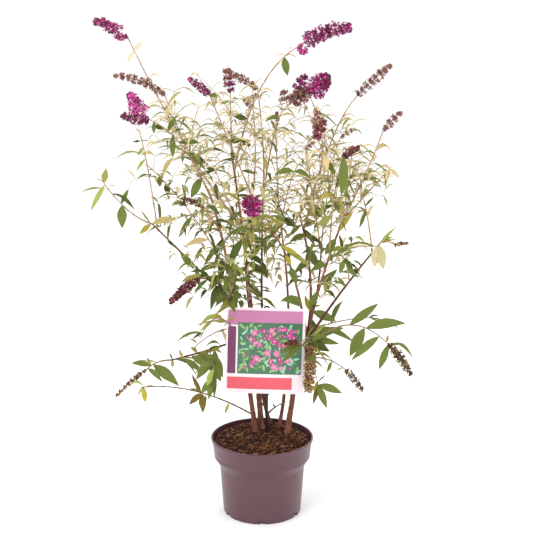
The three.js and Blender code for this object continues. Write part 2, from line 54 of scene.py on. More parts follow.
# ---- the plant's own sizes, in millimetres

SEED = 23

# Each kind of throw has a number of its own, so that no two draw the same chance.
THROW = dict(place=1, turn=2, round=3, lift=5, size=7, droop=9, twig=11, reach=20, tone=31, kept=33, tilt=35,
             small=40, fine=60, limb=90)

# The pot's radii and levels. A drain is a notch in its foot, so long, so deep and so high.
POT = dict(height=177.5, rim=115, band=108, body_top=112, body=95.5, base=87.6, drains=6, drain=(15, 9, 8))

# The compost's level, the radius to which it is flat, and its level at the wall.
SOIL = dict(ground=172, crown=94, edge=167)

# The card, how far it leans (in degrees) and bows forward, and the stick that it hangs by.
LABEL = dict(width=175, height=200, thickness=1.2, corner=4, centre=(7, 4, 378), lean=-1.6, bow=2.0,
             foot=(11, 30, 172), top=(11, 9, 468), stick=5.2, hook=6)

# `length`, `pitch`, `angle` and `droop` are the solids' own, so that each leaf grows where its solid does.
# `slim` is the real width as a share of the solid's, `finer` the chance of a smaller pair in between,
# `arch` how far a leaf's middle rises, `level` how much of the steepness it loses, `roll` how far it rolls
# over, `sag` how much of the droop it keeps, and `twigs` the chance of a fine twig at each place.
HABITS = dict(
    broad=dict(length=98, width=27, pitch=40, angle=62, droop=0.2, side_rate=0.06, slim=0.78, finer=0.4,
               arch=0.03, twigs=0.15, level=0.25, roll=1.2, sag=0.9),
    middle=dict(length=82, width=19, pitch=39, angle=58, droop=0.3, side_rate=0.12, slim=0.7, finer=0.85,
                arch=0.09, twigs=0.7, level=0.5, roll=1.2, sag=0.7),
    fine=dict(length=82, width=15, pitch=42, angle=56, droop=0.34, side_rate=0.17, slim=0.54, finer=0.5,
              arch=0.13, twigs=0.62, level=0.68, roll=1.0, sag=0.7),
)

# A side twig grows in a leaf's place, `reach` to `reach + spread` leaves long. It leans up by `rise`, bows
# by `bow` of its reach, and carries smaller leaves over the `leafy` share of it. None grows past `below` of
# its shoot.
SIDE_TWIG = dict(reach=0.9, spread=0.5, rise=0.35, bow=0.12, length=0.68, width=0.75, pitch=30,
                 leafy=(0.45, 0.95), below=0.85, radii=(1.2, 0.8))

# The fine twigs, which are too small for the solids: the spacing of the places for them, their lengths and
# angles, the leaves they carry, and the stretch of a shoot that has them, with and without a flower spike.
# A shoot that keeps no more than the share `spare` of its leaves has none.
FINE_TWIG = dict(step=24, reach=(45, 115), angle=(34, 64), bow=0.12, length=0.74, width=0.8, pitch=27,
                 leafy=(0.25, 1.0), spread=64, droop=0.45, same_tone=0.6, radii=(0.85, 0.5), first=0.12,
                 below_bloom=0.72, below_tip=0.95, spare=0.4)

# The smaller leaf pairs in between, as shares of the habit's own sizes, and the young leaves in an axil.
SMALL_PAIR = dict(pitch=0.8, length=0.72, width=0.8)
TUFT = dict(leaves=3, size=(0.22, 0.48), turn=2.2, out=(0.35, 1.25))

# A shoot's tip, a hanging twig and the axis of a spike have these radii, and a spike starts at this share.
TIP = 1.1
THIN_TWIG = (1.1, 0.8)
AXIS = (1.2, 0.6)
SPIKE_AT = 0.98

# How far before its stem's axis a leaf grows that faces the front: on a limb, and on a shoot.
BEFORE = dict(limb=6, shoot=2)


def stem_of(name, on, at, heading, out, up, arch=0, sweep=0, habit="fine", **more):
    return dict(name=name, on=on, at=at, heading=heading, out=out, up=up, arch=arch, sweep=sweep,
                habit=habit, **more)


def spike_of(girth, heading, out, up, arch, kind="spent", foot=0.0):
    return dict(girth=girth, heading=heading, out=out, up=up, arch=arch, kind=kind, foot=foot)


# Every stem is a quadratic curve. It starts at its foot, or at the share `at` of the one that it is `on`,
# and goes `out` along its heading and `up`, with its middle pulled up by `arch` and to its left by `sweep`.
CANES = (
    dict(name="cane_left", foot=(-15, 42), heading=-165, out=100, up=560, arch=110, girth=(13, 6)),
    dict(name="cane_middle", foot=(-2, 56), heading=140, out=85, up=630, arch=10, sweep=-20,
         girth=(15, 5.4)),
    dict(name="cane_thin", foot=(13, 70), heading=160, out=10, up=575, arch=-20, sweep=50,
         girth=(7.6, 4.8)),
    dict(name="cane_right", foot=(58, 34), heading=5, out=45, up=235, arch=60, sweep=20, girth=(15, 10)),
    dict(name="cane_back", foot=(38, 60), heading=90, out=130, up=475, arch=-10, sweep=-45, girth=(9, 5)),
    dict(name="cane_rear", foot=(18, 88), heading=115, out=145, up=415, arch=-40, sweep=20,
         girth=(8.4, 4.8)),
)

BOUGHS = (
    stem_of("bough_upper", "cane_right", 1, 105, 75, 260, 0, -30, girth=(8.4, 5)),
    stem_of("bough_cross", "cane_right", 0.97, -145, 115, 270, 100, 20, girth=(7.4, 4.8)),
    stem_of("bough_outer", "cane_right", 0.93, -10, 90, 300, 50, -10, girth=(8, 5)),
    stem_of("bough_reach", "cane_right", 0.88, -30, 180, 255, 10, -10, girth=(7.6, 4.8)),
    stem_of("bough_inner", "cane_right", 0.84, 70, 130, 210, 0, -20, girth=(7.4, 4.6)),
    stem_of("bough_left", "cane_left", 0.54, -165, 185, 200, 0, 20, girth=(7, 4.4)),
    stem_of("bough_low_left", "cane_left", 0.4, -160, 165, -30, 0, 10, girth=(5.6, 4.2)),
    stem_of("stub_dead", "cane_right", 0.05, 180, 30, 12, girth=(7, 5)),
    stem_of("twig_dead", "cane_thin", 0.06, -20, 34, 30, 4, 6, girth=(3.8, 2.8)),
)

# `leafy` is the stretch of a shoot that bears leaves, `kept` the share of the rule's leaves that it still
# carries, and `bare` the share of its length above which it has none. `foot` is the bare share of a spike.
MASSES = (
    # the crown
    stem_of("spire_left", "cane_middle", 0.74, -165, 250, 435, -60, 10, girth=5.4, leafy=(0.34, 0.94),
            bare=0.66, bloom=spike_of(31, -150, 80, 45, 14, "dusky", foot=0.32)),
    stem_of("plume_left", "cane_left", 1, -130, 140, 240, -20, girth=5.4, leafy=(0.2, 0.95), bare=0.86,
            bloom=spike_of(24, -160, 110, 45, 22)),
    stem_of("bloom_left", "cane_left", 0.96, -125, 220, 220, 70, 10, girth=5, leafy=(0.2, 0.95), bare=0.86,
            bloom=spike_of(34, -135, 50, 60, -10, "bright", foot=0.28)),
    stem_of("sprig_left", "bough_cross", 1, -160, 125, 300, 10, -10, girth=4.8, leafy=(0.12, 0.95),
            bloom=spike_of(20, -165, 45, 35, 6, "dull")),
    stem_of("bloom_centre_left", "cane_middle", 1, 95, 40, 135, girth=5, leafy=(0.15, 0.95), kept=0.7,
            bloom=spike_of(26, 125, 10, 55, 0, "fading")),
    stem_of("arch_centre", "cane_thin", 1, 110, 40, 205, -20, -10, girth=4.6, leafy=(0.12, 0.92), kept=0.5,
            bloom=spike_of(22, -165, 80, 45, 10)),
    stem_of("spire_right", "cane_middle", 0.94, -35, 170, 290, 90, -50, girth=5, leafy=(0.12, 0.92),
            kept=0.4, bare=0.62, bloom=spike_of(38, 15, 125, 40, 22, "strong", foot=0.2)),
    stem_of("bloom_centre", "bough_upper", 1, -85, 170, 295, 0, 80, girth=4.8, leafy=(0.1, 0.92), kept=0.6,
            bloom=spike_of(50, -35, 45, 45, 14, "full", foot=0.2)),
    stem_of("plume_centre", "cane_thin", 0.94, -60, 105, 220, 100, girth=4.6, leafy=(0.12, 0.92),
            bloom=spike_of(30, -10, 55, 40, 10, foot=0.22)),
    stem_of("bloom_inner", "bough_upper", 0.93, -85, 260, 240, 0, 80, girth=4.6, leafy=(0.12, 0.92),
            kept=0.4, bloom=spike_of(28, -95, 20, 65, 0)),
    stem_of("plume_right", "bough_upper", 0.86, -5, 120, 310, 100, girth=4.8, leafy=(0.15, 0.92), bare=0.66,
            bloom=spike_of(26, 15, 80, 65, 8)),
    stem_of("plume_edge", "bough_outer", 1, -20, 80, 190, -10, 10, girth=4.8, leafy=(0.1, 0.92), kept=0.6,
            bare=0.72, bloom=spike_of(23, 10, 40, 40, 4)),
    stem_of("sprig_edge", "bough_outer", 0.95, 25, 115, 105, girth=4.2, leafy=(0.2, 0.96), kept=0.4,
            bare=0.8),
    stem_of("sprig_right", "bough_inner", 1, 60, 95, 235, 110, girth=4.4, leafy=(0.1, 0.92),
            bloom=spike_of(16, 15, 35, 20, 4)),
    stem_of("bloom_dark", "bough_outer", 0.66, -85, 205, 265, 40, -10, girth=4.4, habit="middle",
            leafy=(0.25, 0.94), kept=0.7, bloom=spike_of(22, -35, 40, 25, 6, "wine")),
    stem_of("sprig_upper", "cane_rear", 1, 30, 25, 305, -20, -60, girth=4.6, leafy=(0.1, 0.94), kept=0.5,
            bloom=spike_of(18, 175, 25, 25, 4)),
    stem_of("sprig_back", "cane_back", 1, 95, 80, 195, girth=4.8, leafy=(0.1, 0.94),
            bloom=spike_of(18, 75, 10, 35, 0)),
    stem_of("bloom_front", "cane_middle", 0.65, -85, 275, 165, -10, girth=4.4, habit="middle",
            leafy=(0.2, 0.9), bloom=spike_of(44, -105, 50, 25, 6, "full")),
    stem_of("sprig_dotted", "cane_left", 0.85, -105, 145, 90, 10, girth=4.2, habit="middle",
            leafy=(0.2, 0.9), kept=0.6, bloom=spike_of(18, -140, 50, 25, 6, "husk")),
    stem_of("return_right", "bough_reach", 0.93, 120, 90, 150, 70, -10, girth=4.2, habit="middle",
            leafy=(0.15, 0.96), kept=0.35),
    stem_of("fill_left", "cane_rear", 0.94, 125, 135, 175, 30, girth=4.4, leafy=(0.1, 0.96)),
    stem_of("fill_right", "bough_inner", 0.94, 100, 185, 200, girth=4.2, leafy=(0.1, 0.96), kept=0.8),
    stem_of("fill_outer", "bough_outer", 0.82, 75, 150, 165, -10, -10, girth=4.2, habit="middle",
            leafy=(0.12, 0.96), kept=0.75),
    stem_of("fill_centre", "cane_back", 0.88, -85, 235, 210, -20, -20, girth=4.4, leafy=(0.15, 0.96)),
    stem_of("back_left", "cane_left", 0.66, 135, 280, 215, 40, -10, girth=4.4, habit="middle",
            leafy=(0.18, 0.96), kept=0.6),
    # the sides and the skirt
    stem_of("upright_left", "bough_left", 0.94, 110, 135, 195, 40, girth=3.8, habit="broad",
            leafy=(0.25, 0.96), kept=0.1),
    stem_of("tip_left", "bough_left", 1, -135, 130, 110, -30, girth=4, habit="broad", leafy=(0.1, 0.96),
            kept=0.0),
    stem_of("fan_right", "bough_reach", 1, -60, 65, 15, 20, -10, girth=4.2, habit="broad", leafy=(0.2, 0.7),
            kept=0.0, bloom=spike_of(13, -40, 35, 10, 2, "husk")),
    stem_of("sprout_right", "bough_reach", 0.65, -100, 125, 90, 20, girth=3.8, habit="middle",
            leafy=(0.25, 0.96), kept=0.35),
    stem_of("plume_low_left", "cane_left", 0.5, -120, 165, 120, 80, girth=5, habit="broad", leafy=(0.3, 0.8),
            kept=0.7, bloom=spike_of(22, -145, 70, -35, 8, "wine", foot=0.14)),
    stem_of("tuft_left", "cane_left", 0.47, -95, 150, 180, 10, -20, girth=4.4, habit="broad",
            leafy=(0.4, 0.96)),
    stem_of("leaves_yellow", "cane_left", 0.37, -125, 155, 60, 110, -10, girth=4, habit="broad",
            leafy=(0.4, 0.96), kept=0.25),
    stem_of("droop_left", "bough_low_left", 0.5, -80, 110, -10, 30, girth=3.6, habit="broad",
            leafy=(0.3, 0.96), kept=0.0),
    stem_of("trail_left", "bough_low_left", 1, -145, 65, -10, 10, -10, girth=4, habit="broad",
            leafy=(0.1, 0.8), kept=0.0, bloom=spike_of(16, -150, 75, -50, 8, "husk")),
    stem_of("trail_low", "cane_left", 0.075, -150, 280, 117, 42, -20, girth=4, habit="broad",
            leafy=(0.36, 0.96), kept=0.0),
    stem_of("spray_right", "cane_right", 0.78, -35, 230, 65, 114, 10, girth=5, habit="broad",
            leafy=(0.25, 0.95), kept=0.0, bloom=spike_of(26, -35, 60, -60, 10, "husk")),
    stem_of("spray_low_right", "cane_right", 0.7, -55, 175, 30, 40, girth=4.2, habit="broad",
            leafy=(0.3, 0.95), kept=0.0, bloom=spike_of(21, -35, 44, -40, 6, "husk")),
    stem_of("plume_hanging", "cane_right", 0.62, -60, 60, 75, 30, girth=4.4, habit="broad", leafy=(0.4, 0.8),
            kept=0.0, bloom=spike_of(26, -115, 15, -105, 0, "green")),
    stem_of("sprig_front", "cane_right", 0.54, -90, 95, 120, 30, 40, girth=4, habit="broad",
            leafy=(0.5, 0.9), bloom=spike_of(16, -145, 35, 0, 2, "wine")),
    stem_of("rear_low_left", "cane_rear", 0.5, 130, 225, -100, 50, girth=4.2, habit="broad",
            leafy=(0.25, 0.96), kept=0.35),
    stem_of("rear_low_right", "cane_back", 0.42, 45, 300, -15, 30, -10, girth=4.4, habit="broad",
            leafy=(0.25, 0.96), kept=0.3),
)

# The mixture of leaf tones of each habit.
TONE_NAMES = ("deep", "green", "olive", "sage", "tan", "pale", "lime", "yellow", "rust")
MIXTURES = dict(
    broad=(0.34, 0.36, 0.2, 0.02, 0.0, 0.0, 0.06, 0.02, 0.0),
    middle=(0.2, 0.33, 0.23, 0.1, 0.08, 0.02, 0.03, 0.01, 0.0),
    fine=(0.07, 0.11, 0.14, 0.22, 0.32, 0.14, 0.0, 0.0, 0.0),
)

# The leaves that stand out, each listed: on which limb or shoot, then where along it in hundredths of
# its length, the leaf's heading and rise in degrees, its length and width, its tone, its sag, and where
# its upper side faces. A row that stops early is green, doesn't sag and faces the front.
FACES = dict(up=(0, -0.5, 1), front=(0, -1, 0.3), back=(0, 1, 0.2))
KEY_LEAVES = dict(
    tip_left=((100, 20, 78, 32, 15, "olive"), (87, 185, 5, 70, 7, "olive", 0.2, "up"),
        (97, 190, -58, 62, 12, "lime", 0.05), (98, 170, 20, 40, 4, "sage", 0.5, "up"),
        (90, 10, 15, 38, 4, "sage", 0.7, "up"), (80, -5, -20, 60, 12, "deep", 0.3, "up"),
        (60, 20, 62, 36, 12), (58, -100, -84, 50, 21), (3, 170, 50, 36, 6, "olive", 0.0, "up"),
        (2, 200, -38, 34, 14, "yellow"), (1, 0, 14, 62, 16, "sage", 0.1),
        (0, 30, 5, 18, 8, "deep", 0.0, "up")),
    upright_left=((71, 190, 14, 88, 9, "olive", 0.35, "up"), (68, 215, -40, 36, 8, "lime", 0.1),
        (76, 0, 32, 60, 8, "tan", 0.55, "up"), (87, 190, -5, 24, 7, "deep", 0.0, "up"),
        (87, -20, 5, 16, 6, "green", 0.0, "up"), (80, 200, -50, 22, 8, "lime"),
        (70, 200, 60, 20, 5, "tan", 0.0, "up"), (70, 10, 65, 18, 5, "tan", 0.0, "up"),
        (96, 190, 50, 18, 5, "tan", 0.0, "up"), (3, 0, 70, 14, 4, "sage", 0.0, "up")),
    back_left=((49, 200, -54, 58, 13, "green", 0.1), (42, 190, -14, 48, 7, "tan", 0.3, "up"),
        (29, 190, -6, 60, 14, "tan", 0.15), (21, 195, -52, 40, 12, "green", 0.1),
        (80, 180, 12, 26, 8, "deep", 0.1, "up"), (80, -10, 22, 30, 6, "olive", 0.3, "up"),
        (79, -30, -72, 26, 17, "deep"), (86, -90, -75, 24, 13), (72, 0, 25, 30, 6, "sage", 0.4, "up"),
        (60, 190, 10, 34, 7, "olive", 0.4, "up")),
    bloom_left=((72, -80, -82, 46, 15), (78, 30, 55, 34, 13), (82, 180, 10, 24, 12, "deep"),
        (63, 0, 8, 46, 16, "green", 0.15), (74, 10, 20, 34, 9, "green", 0.1, "up"), (93, -100, -86, 24, 10)),
    spire_left=((44, 0, -38, 58, 12, "deep"), (93, 10, 50, 26, 10, "pale"), (93, 185, -55, 28, 10, "pale"),
        (80, 0, 25, 46, 6, "tan", 0.5, "up"), (80, 190, -35, 26, 6, "olive", 0.2, "up"),
        (68, 185, 0, 40, 6, "pale", 0.3, "up"), (65, -10, -35, 24, 9, "olive", 0.1, "up")),
    sprig_left=((64, 20, 10, 30, 15, "deep"), (66, 180, 5, 20, 7, "deep", 0.1, "up"),
        (97, 10, 10, 18, 12, "green", 0.1), (50, 175, 0, 44, 8, "deep", 0.2, "up"),
        (30, 190, -30, 40, 12, "green", 0.1, "up"), (42, 0, -10, 30, 11, "deep", 0.1, "up")),
    spire_right=((25, 0, -40, 26, 17, "deep"), (25, 185, -20, 22, 10, "deep"), (89, -40, -80, 40, 18),
        (90, 5, 5, 28, 6, "tan", 0.3, "up"), (90, 180, 8, 24, 6, "tan", 0.3, "up"),
        (88, 190, -60, 20, 6, "pale", 0.0, "up"), (40, 170, 15, 34, 14, "deep"),
        (60, 0, 20, 56, 7, "tan", 0.5, "up"), (62, 185, 10, 60, 7, "sage", 0.4, "up"),
        (97, 200, 10, 22, 4, "tan", 0.4, "up")),
    plume_right=((15, 0, -28, 38, 12), (99, 185, 30, 28, 6, "olive", 0.7, "up"),
        (74, 180, 40, 62, 7, "green", 0.1, "up"), (74, 5, 18, 66, 7, "tan", 0.5, "up"),
        (80, 0, 12, 50, 8, "pale", 0.45, "up")),
    plume_edge=((76, 175, 22, 46, 6, "tan", 0.4, "up"), (76, -5, 5, 56, 8, "sage", 0.6, "up"),
        (42, 0, 15, 62, 9, "olive", 0.5, "up"), (42, 180, 5, 36, 7, "tan", 0.3, "up"),
        (35, 0, 10, 76, 8, "green", 0.4, "up"), (55, 190, 15, 34, 6, "sage", 0.4, "up")),
    sprig_edge=((97, 10, -40, 32, 9, "tan", 0.1), (97, -120, -60, 28, 9, "tan", 0.1),
        (96, 180, 25, 40, 5, "sage", 0.5, "up"), (80, 0, 5, 56, 4, "tan", 0.4, "up"),
        (80, 10, -40, 26, 6, "tan", 0.2, "up"), (97, 190, 35, 26, 8, "tan", 0.2)),
    bloom_dark=((100, -80, -86, 80, 23, "green", 0.02), (97, 180, 0, 30, 8, "tan", 0.3, "up"),
        (39, 185, -35, 40, 15, "olive"), (60, 190, -8, 44, 11, "yellow", 0.2, "up")),
    return_right=((52, 185, -70, 44, 9), (56, 20, 45, 28, 8, "green", 0.0, "up"),
        (50, 180, 10, 22, 5, "olive", 0.4, "up"), (95, 0, 0, 72, 8, "olive", 0.4, "up"),
        (70, 180, 20, 30, 6, "tan", 0.3, "up")),
    bough_reach=((98.5, 184, 6, 130, 20, "green", 0.34, "up"), (97, 184, 0, 116, 7, "pale", 0.34),
        (80, 150, 30, 24, 9, "green", 0.1, "up"), (78, -160, -20, 26, 8, "olive", 0.2, "up"),
        (76, 170, 40, 34, 9, "deep", 0.1, "up"), (74, 185, 10, 38, 8, "green", 0.1),
        (70, 10, -10, 30, 6, "olive", 0.2, "up"), (60, 170, 50, 30, 10)),
    fan_right=((10, 20, 42, 56, 9, "lime", 0.0, "up"), (20, 30, 30, 40, 9, "lime", 0.2),
        (15, 10, 14, 42, 8, "yellow", 0.0, "up"), (10, -50, -72, 56, 24, "olive", 0.0, "back"),
        (0, -120, -66, 48, 22, "sage", 0.0, "back"), (75, 0, -20, 28, 7, "olive", 0.1, "up"),
        (50, 30, 30, 14, 6, "green", 0.0, "up")),
    sprout_right=((80, 200, -70, 34, 14), (80, 0, -50, 32, 12, "deep", 0.1),
        (100, 20, 20, 26, 10, "green", 0.1, "up"), (90, 180, 15, 30, 9, "green", 0.2, "up"),
        (50, 0, -50, 34, 11, "green", 0.1)),
    cane_left=((86, 195, -10, 44, 9, "olive", 0.2, "up"), (90, 190, -40, 40, 10, "green", 0.1),
        (84, 170, 30, 40, 8, "sage", 0.3, "up"), (82, 200, -60, 40, 11, "deep"), (65.5, 185, -80, 70, 30),
        (66, -20, -80, 66, 26, "green", 0.05), (65, -60, -72, 60, 19), (65.5, 192, -62, 66, 20),
        (66.5, 200, -20, 60, 14, "olive", 0.3, "up"), (58, 195, -40, 50, 16, "olive", 0.05),
        (74, 10, -70, 50, 16), (68, 0, 20, 46, 12, "green", 0.2), (80, 200, -30, 44, 12, "green", 0.1),
        (62, 200, -35, 50, 16, "green", 0.1), (55, 190, -15, 52, 12, "green", 0.2, "up"),
        (50, 200, -88, 58, 22), (49, -60, -84, 62, 21, "deep"), (52, -20, -76, 64, 20, "green", 0.05),
        (53, -150, -80, 56, 20, "deep"), (50, 0, -20, 60, 13, "green", 0.3, "up"),
        (60, 185, 25, 44, 11, "deep", 0.2, "up"), (47, 195, 8, 46, 9, "green", 0.35, "up"),
        (45, 200, -25, 42, 10, "green", 0.3, "up"), (72, 190, 0, 54, 14, "pale", 0.12),
        (70, 185, 22, 58, 11, "green", 0.75)),
    cane_middle=((66, -5, -38, 64, 15, "deep", 0.05), (54, 20, -50, 50, 17),
        (60, -160, -30, 50, 15, "green", 0.1), (72, 10, -10, 46, 12, "olive", 0.2),
        (80, 200, -40, 44, 12, "green", 0.1), (86, 0, -20, 50, 13, "deep", 0.1),
        (62, -20, -30, 66, 16, "deep", 0.05), (58, -30, 10, 50, 13, "green", 0.25, "up")),
    leaves_yellow=((60, 190, 8, 62, 12, "lime", 0.55), (55, 180, 28, 34, 10, "yellow", 0.4),
        (70, 190, -42, 40, 10, "lime", 0.05), (50, 170, 16, 52, 6, "olive", 0.45, "up"),
        (45, 0, 25, 26, 8, "yellow", 0.1, "up")),
    bough_low_left=((72, -10, -32, 56, 17, "green", 0.1), (21, 200, -50, 64, 18, "green", 0.05),
        (24, -20, -70, 66, 18, "deep"), (40, -60, -78, 60, 18), (50, 190, -30, 40, 12, "olive", 0.1),
        (30, 185, -10, 44, 12, "green", 0.2), (30, 190, 18, 52, 10, "green", 0.45, "up"),
        (64, 180, 48, 26, 13, "olive", 0.2, "up"), (66, 0, -82, 22, 10, "olive"),
        (84, 180, 70, 22, 9, "sage"), (96, 0, -20, 62, 11, "green", 0.3, "up"),
        (85, 0, -4, 46, 6, "olive", 0.1, "up"), (98, 190, 65, 18, 6, "green", 0.0, "up"),
        (98, -90, -60, 18, 8, "olive", 0.0, "up"), (84, 0, -34, 58, 16, "green", 0.05),
        (60, -10, -38, 60, 28, "green", 0.08), (45, 0, -10, 34, 8, "green", 0.4, "up")),
    droop_left=((70, 185, -50, 56, 20, "green", 0.05), (60, -10, -84, 64, 18, "deep"),
        (100, -80, -80, 58, 12, "deep"), (50, -20, -60, 56, 26, "green", 0.05), (85, -110, -76, 76, 21),
        (90, 190, 12, 56, 14, "green", 0.5, "up"), (80, 0, -70, 46, 18), (95, 200, -62, 40, 16, "lime"),
        (30, 10, -5, 36, 8, "olive", 0.3, "up")),
    trail_left=((75, 178, 16, 48, 15, "green", 0.15), (75, 190, 68, 22, 8, "olive"),
        (65, 0, -42, 74, 24, "green", 0.12), (90, 0, -38, 44, 13, "green", 0.1),
        (50, 175, 12, 34, 5, "olive", 0.1, "up")),
    trail_low=((97, 180, 12, 52, 9, "lime", 0.5, "up"), (97, 200, -45, 22, 7, "lime", 0.1, "up"),
        (97, -90, -86, 34, 14, "yellow"), (97, 0, 8, 28, 5, "olive", 0.1, "up"), (48, 0, 52, 56, 17),
        (48, 185, 64, 50, 11, "rust"), (48, 180, 24, 30, 9, "olive", 0.1, "up"),
        (48, 190, -46, 38, 15, "rust", 0.05), (47, -90, -88, 46, 17, "rust"), (44, -80, -85, 22, 4, "deep"),
        (23, 190, -68, 28, 8, "yellow")),
    spray_right=((58, 0, 40, 82, 20), (74, 0, 16, 96, 23, "green", 0.14), (73, 185, -60, 72, 28),
        (88, 185, -38, 80, 20, "green", 0.08), (98, 190, -72, 60, 17),
        (100, 0, -5, 70, 14, "green", 0.5, "up"), (100, -20, -46, 52, 14, "deep"),
        (96, 0, 75, 18, 7, "olive", 0.0, "up")),
    bough_outer=((80, 200, -50, 44, 20), (49, 0, -55, 30, 9), (70, 10, 10, 46, 12, "olive", 0.3),
        (60, 180, -10, 42, 14, "green", 0.2), (90, 90, 84, 60, 10, "tan"), (85, 0, 60, 60, 10, "yellow"),
        (24, 0, -20, 58, 17, "green", 0.08), (40, 175, -60, 50, 15)),
    cane_right=((98, -10, 19, 92, 22, "green", 0.06), (97, 0, -8, 76, 19, "green", 0.06),
        (99, -10, 38, 52, 20, "lime", 0.1), (95, -20, -36, 40, 26), (93, -40, -72, 36, 18, "deep"),
        (96, -15, -24, 60, 22, "deep"), (99, -40, -80, 40, 15, "olive"),
        (99, 190, 30, 40, 10, "olive", 0.2, "up")),
    spray_low_right=((26, 0, 14, 72, 9, "green", 0.45, "up"), (70, 190, -68, 28, 9),
        (92, 180, -20, 16, 4, "olive", 0.0, "up")),
    bough_left=((68, 0, -48, 50, 16), (83, -20, -50, 24, 8, "deep", 0.0, "up"),
        (55, 200, -20, 40, 9, "olive", 0.2, "up"), (50, -10, -75, 34, 11),
        (45, 30, 20, 50, 12, "green", 0.2), (35, 190, -35, 44, 10, "green", 0.2),
        (40, 20, -30, 46, 12, "deep", 0.1)),
    fill_centre=((48, 185, -62, 42, 20, "sage"), (36, 0, -25, 32, 16, "deep"), (17, 200, -54, 44, 8, "deep"),
        (40, -20, -30, 40, 18, "deep"), (40, 180, -60, 60, 16, "green", 0.1),
        (70, 0, 5, 50, 8, "olive", 0.5, "up"), (100, 180, 0, 46, 14, "green", 0.2),
        (100, 0, -10, 40, 12, "green", 0.2)),
    cane_thin=((76, 185, -48, 44, 12, "lime"), (77, 180, 35, 40, 16, "green", 0.1),
        (10, 180, 40, 18, 6, "rust", 0.1), (14, 10, 50, 16, 6, "rust", 0.1),
        (18, 190, 20, 16, 5, "rust", 0.1), (69, -10, -64, 36, 15, "deep", 0.1),
        (58, 0, 0, 26, 7, "green", 0.2, "up"), (75, 200, -20, 44, 11, "green", 0.2, "up"),
        (82, 0, 10, 50, 11, "olive", 0.3)),
    bloom_front=((97, -90, -84, 32, 14, "lime"), (60, 180, 0, 46, 12, "green", 0.3)),
    bloom_centre=((7, 0, -42, 44, 10, "lime"), (9, 0, -20, 56, 12, "green", 0.2),
        (40, 180, 5, 54, 9, "tan", 0.5, "up"), (40, 0, 5, 54, 9, "olive", 0.5, "up"),
        (70, 0, 15, 50, 8, "tan", 0.6, "up")),
    plume_left=((19, 185, -62, 50, 19), (45, -5, -40, 54, 11, "green", 0.05),
        (73, 0, 12, 60, 8, "tan", 0.4, "up"), (73, 180, 8, 62, 7, "tan", 0.5, "up"),
        (88, 0, 20, 44, 7, "tan", 0.5, "up"), (88, 180, 12, 58, 6, "tan", 0.4, "up"),
        (89, -60, -40, 30, 10, "pale", 0.1), (88, -120, -50, 28, 10, "tan", 0.1),
        (75, 0, -20, 44, 9, "olive", 0.3, "up"), (97, 170, 30, 34, 5, "pale", 0.5, "up")),
    bloom_centre_left=((62, 0, 10, 34, 6, "tan", 0.4, "up"), (62, 180, 10, 46, 6, "tan", 0.4, "up"),
        (38, 180, 12, 46, 7, "tan", 0.4, "up"), (10, 0, 10, 40, 7, "olive", 0.5, "up"),
        (85, 185, -10, 26, 8, "lime", 0.1), (87, 0, 12, 24, 6, "olive", 0.2, "up")),
    arch_centre=((50, 180, 12, 52, 7, "tan", 0.5, "up"), (50, 0, 12, 52, 7, "sage", 0.5, "up"),
        (75, 180, 10, 50, 7, "tan", 0.6, "up"), (75, 0, 10, 46, 6, "tan", 0.6, "up")),
    plume_centre=((82, 0, 10, 60, 9, "tan", 0.45, "up"), (82, 180, -12, 64, 8, "pale", 0.3, "up"),
        (83, 190, -5, 36, 10, "green", 0.2), (60, 0, 10, 60, 8, "tan", 0.5, "up"),
        (60, 180, 10, 60, 8, "tan", 0.5, "up")),
    bloom_inner=((81, 0, 8, 56, 9, "tan", 0.4, "up"), (81, 180, 8, 60, 9, "tan", 0.4, "up"),
        (80, -80, -60, 34, 16, "tan", 0.1), (78, -20, -62, 44, 13)),
    plume_hanging=((100, 0, -40, 60, 8, "olive", 0.3, "up"),),
    twig_hanging=((97, 190, -80, 50, 11, "rust"), (100, 0, -16, 58, 19, "green", 0.05),
        (100, -40, -66, 56, 18), (96, 10, 45, 30, 5, "green", 0.1, "up"), (90, 190, -75, 30, 8, "yellow")),
    twig_dead=((60, 150, 60, 14, 5, "rust", 0.1), (100, 20, 30, 16, 6, "rust", 0.1)),
    fill_left=((92, 185, -14, 48, 9, "deep", 0.1), (92, 190, 20, 22, 12, "deep"),
        (92, 0, -6, 46, 8, "green", 0.2, "up")),
    fill_right=((11, -20, -80, 28, 12), (30, 185, -30, 36, 12)),
    sprig_right=((45, 185, -20, 38, 9), (49, 0, -62, 78, 18)),
    sprig_front=((84, 190, -38, 64, 13, "green", 0.05), (80, 185, -8, 44, 8, "olive", 0.2)),
    bough_upper=((82, 10, -20, 44, 12, "deep", 0.1), (84, 190, -25, 40, 12, "green", 0.1),
        (88, -20, -50, 46, 13, "deep", 0.1), (78, 200, 10, 36, 9, "olive", 0.3, "up"),
        (92, 180, -40, 44, 12, "olive", 0.1), (70, 5, 20, 40, 10, "green", 0.2, "up"),
        (75, -15, -66, 64, 20), (60, 185, -30, 44, 13, "green", 0.1),
        (90, 0, 20, 46, 10, "green", 0.3, "up"), (20, 180, 70, 40, 12, "yellow"),
        (22, 0, 20, 26, 9, "yellow", 0.1, "up")),
    bough_inner=((36, 5, -22, 56, 21, "green", 0.05), (30, -30, -86, 46, 22), (62, -20, 40, 62, 18)),
    bough_cross=((27, 186, 30, 62, 20, "green", 0.25), (30, 190, 50, 30, 14, "green", 0.1),
        (87, 200, -40, 40, 12, "green", 0.2), (40, -90, -86, 44, 22), (80, 0, -34, 82, 12, "olive", 0.06),
        (81, -5, -30, 46, 11, "yellow"), (62, -20, -68, 42, 18), (72, 0, -62, 24, 13, "yellow")),
)

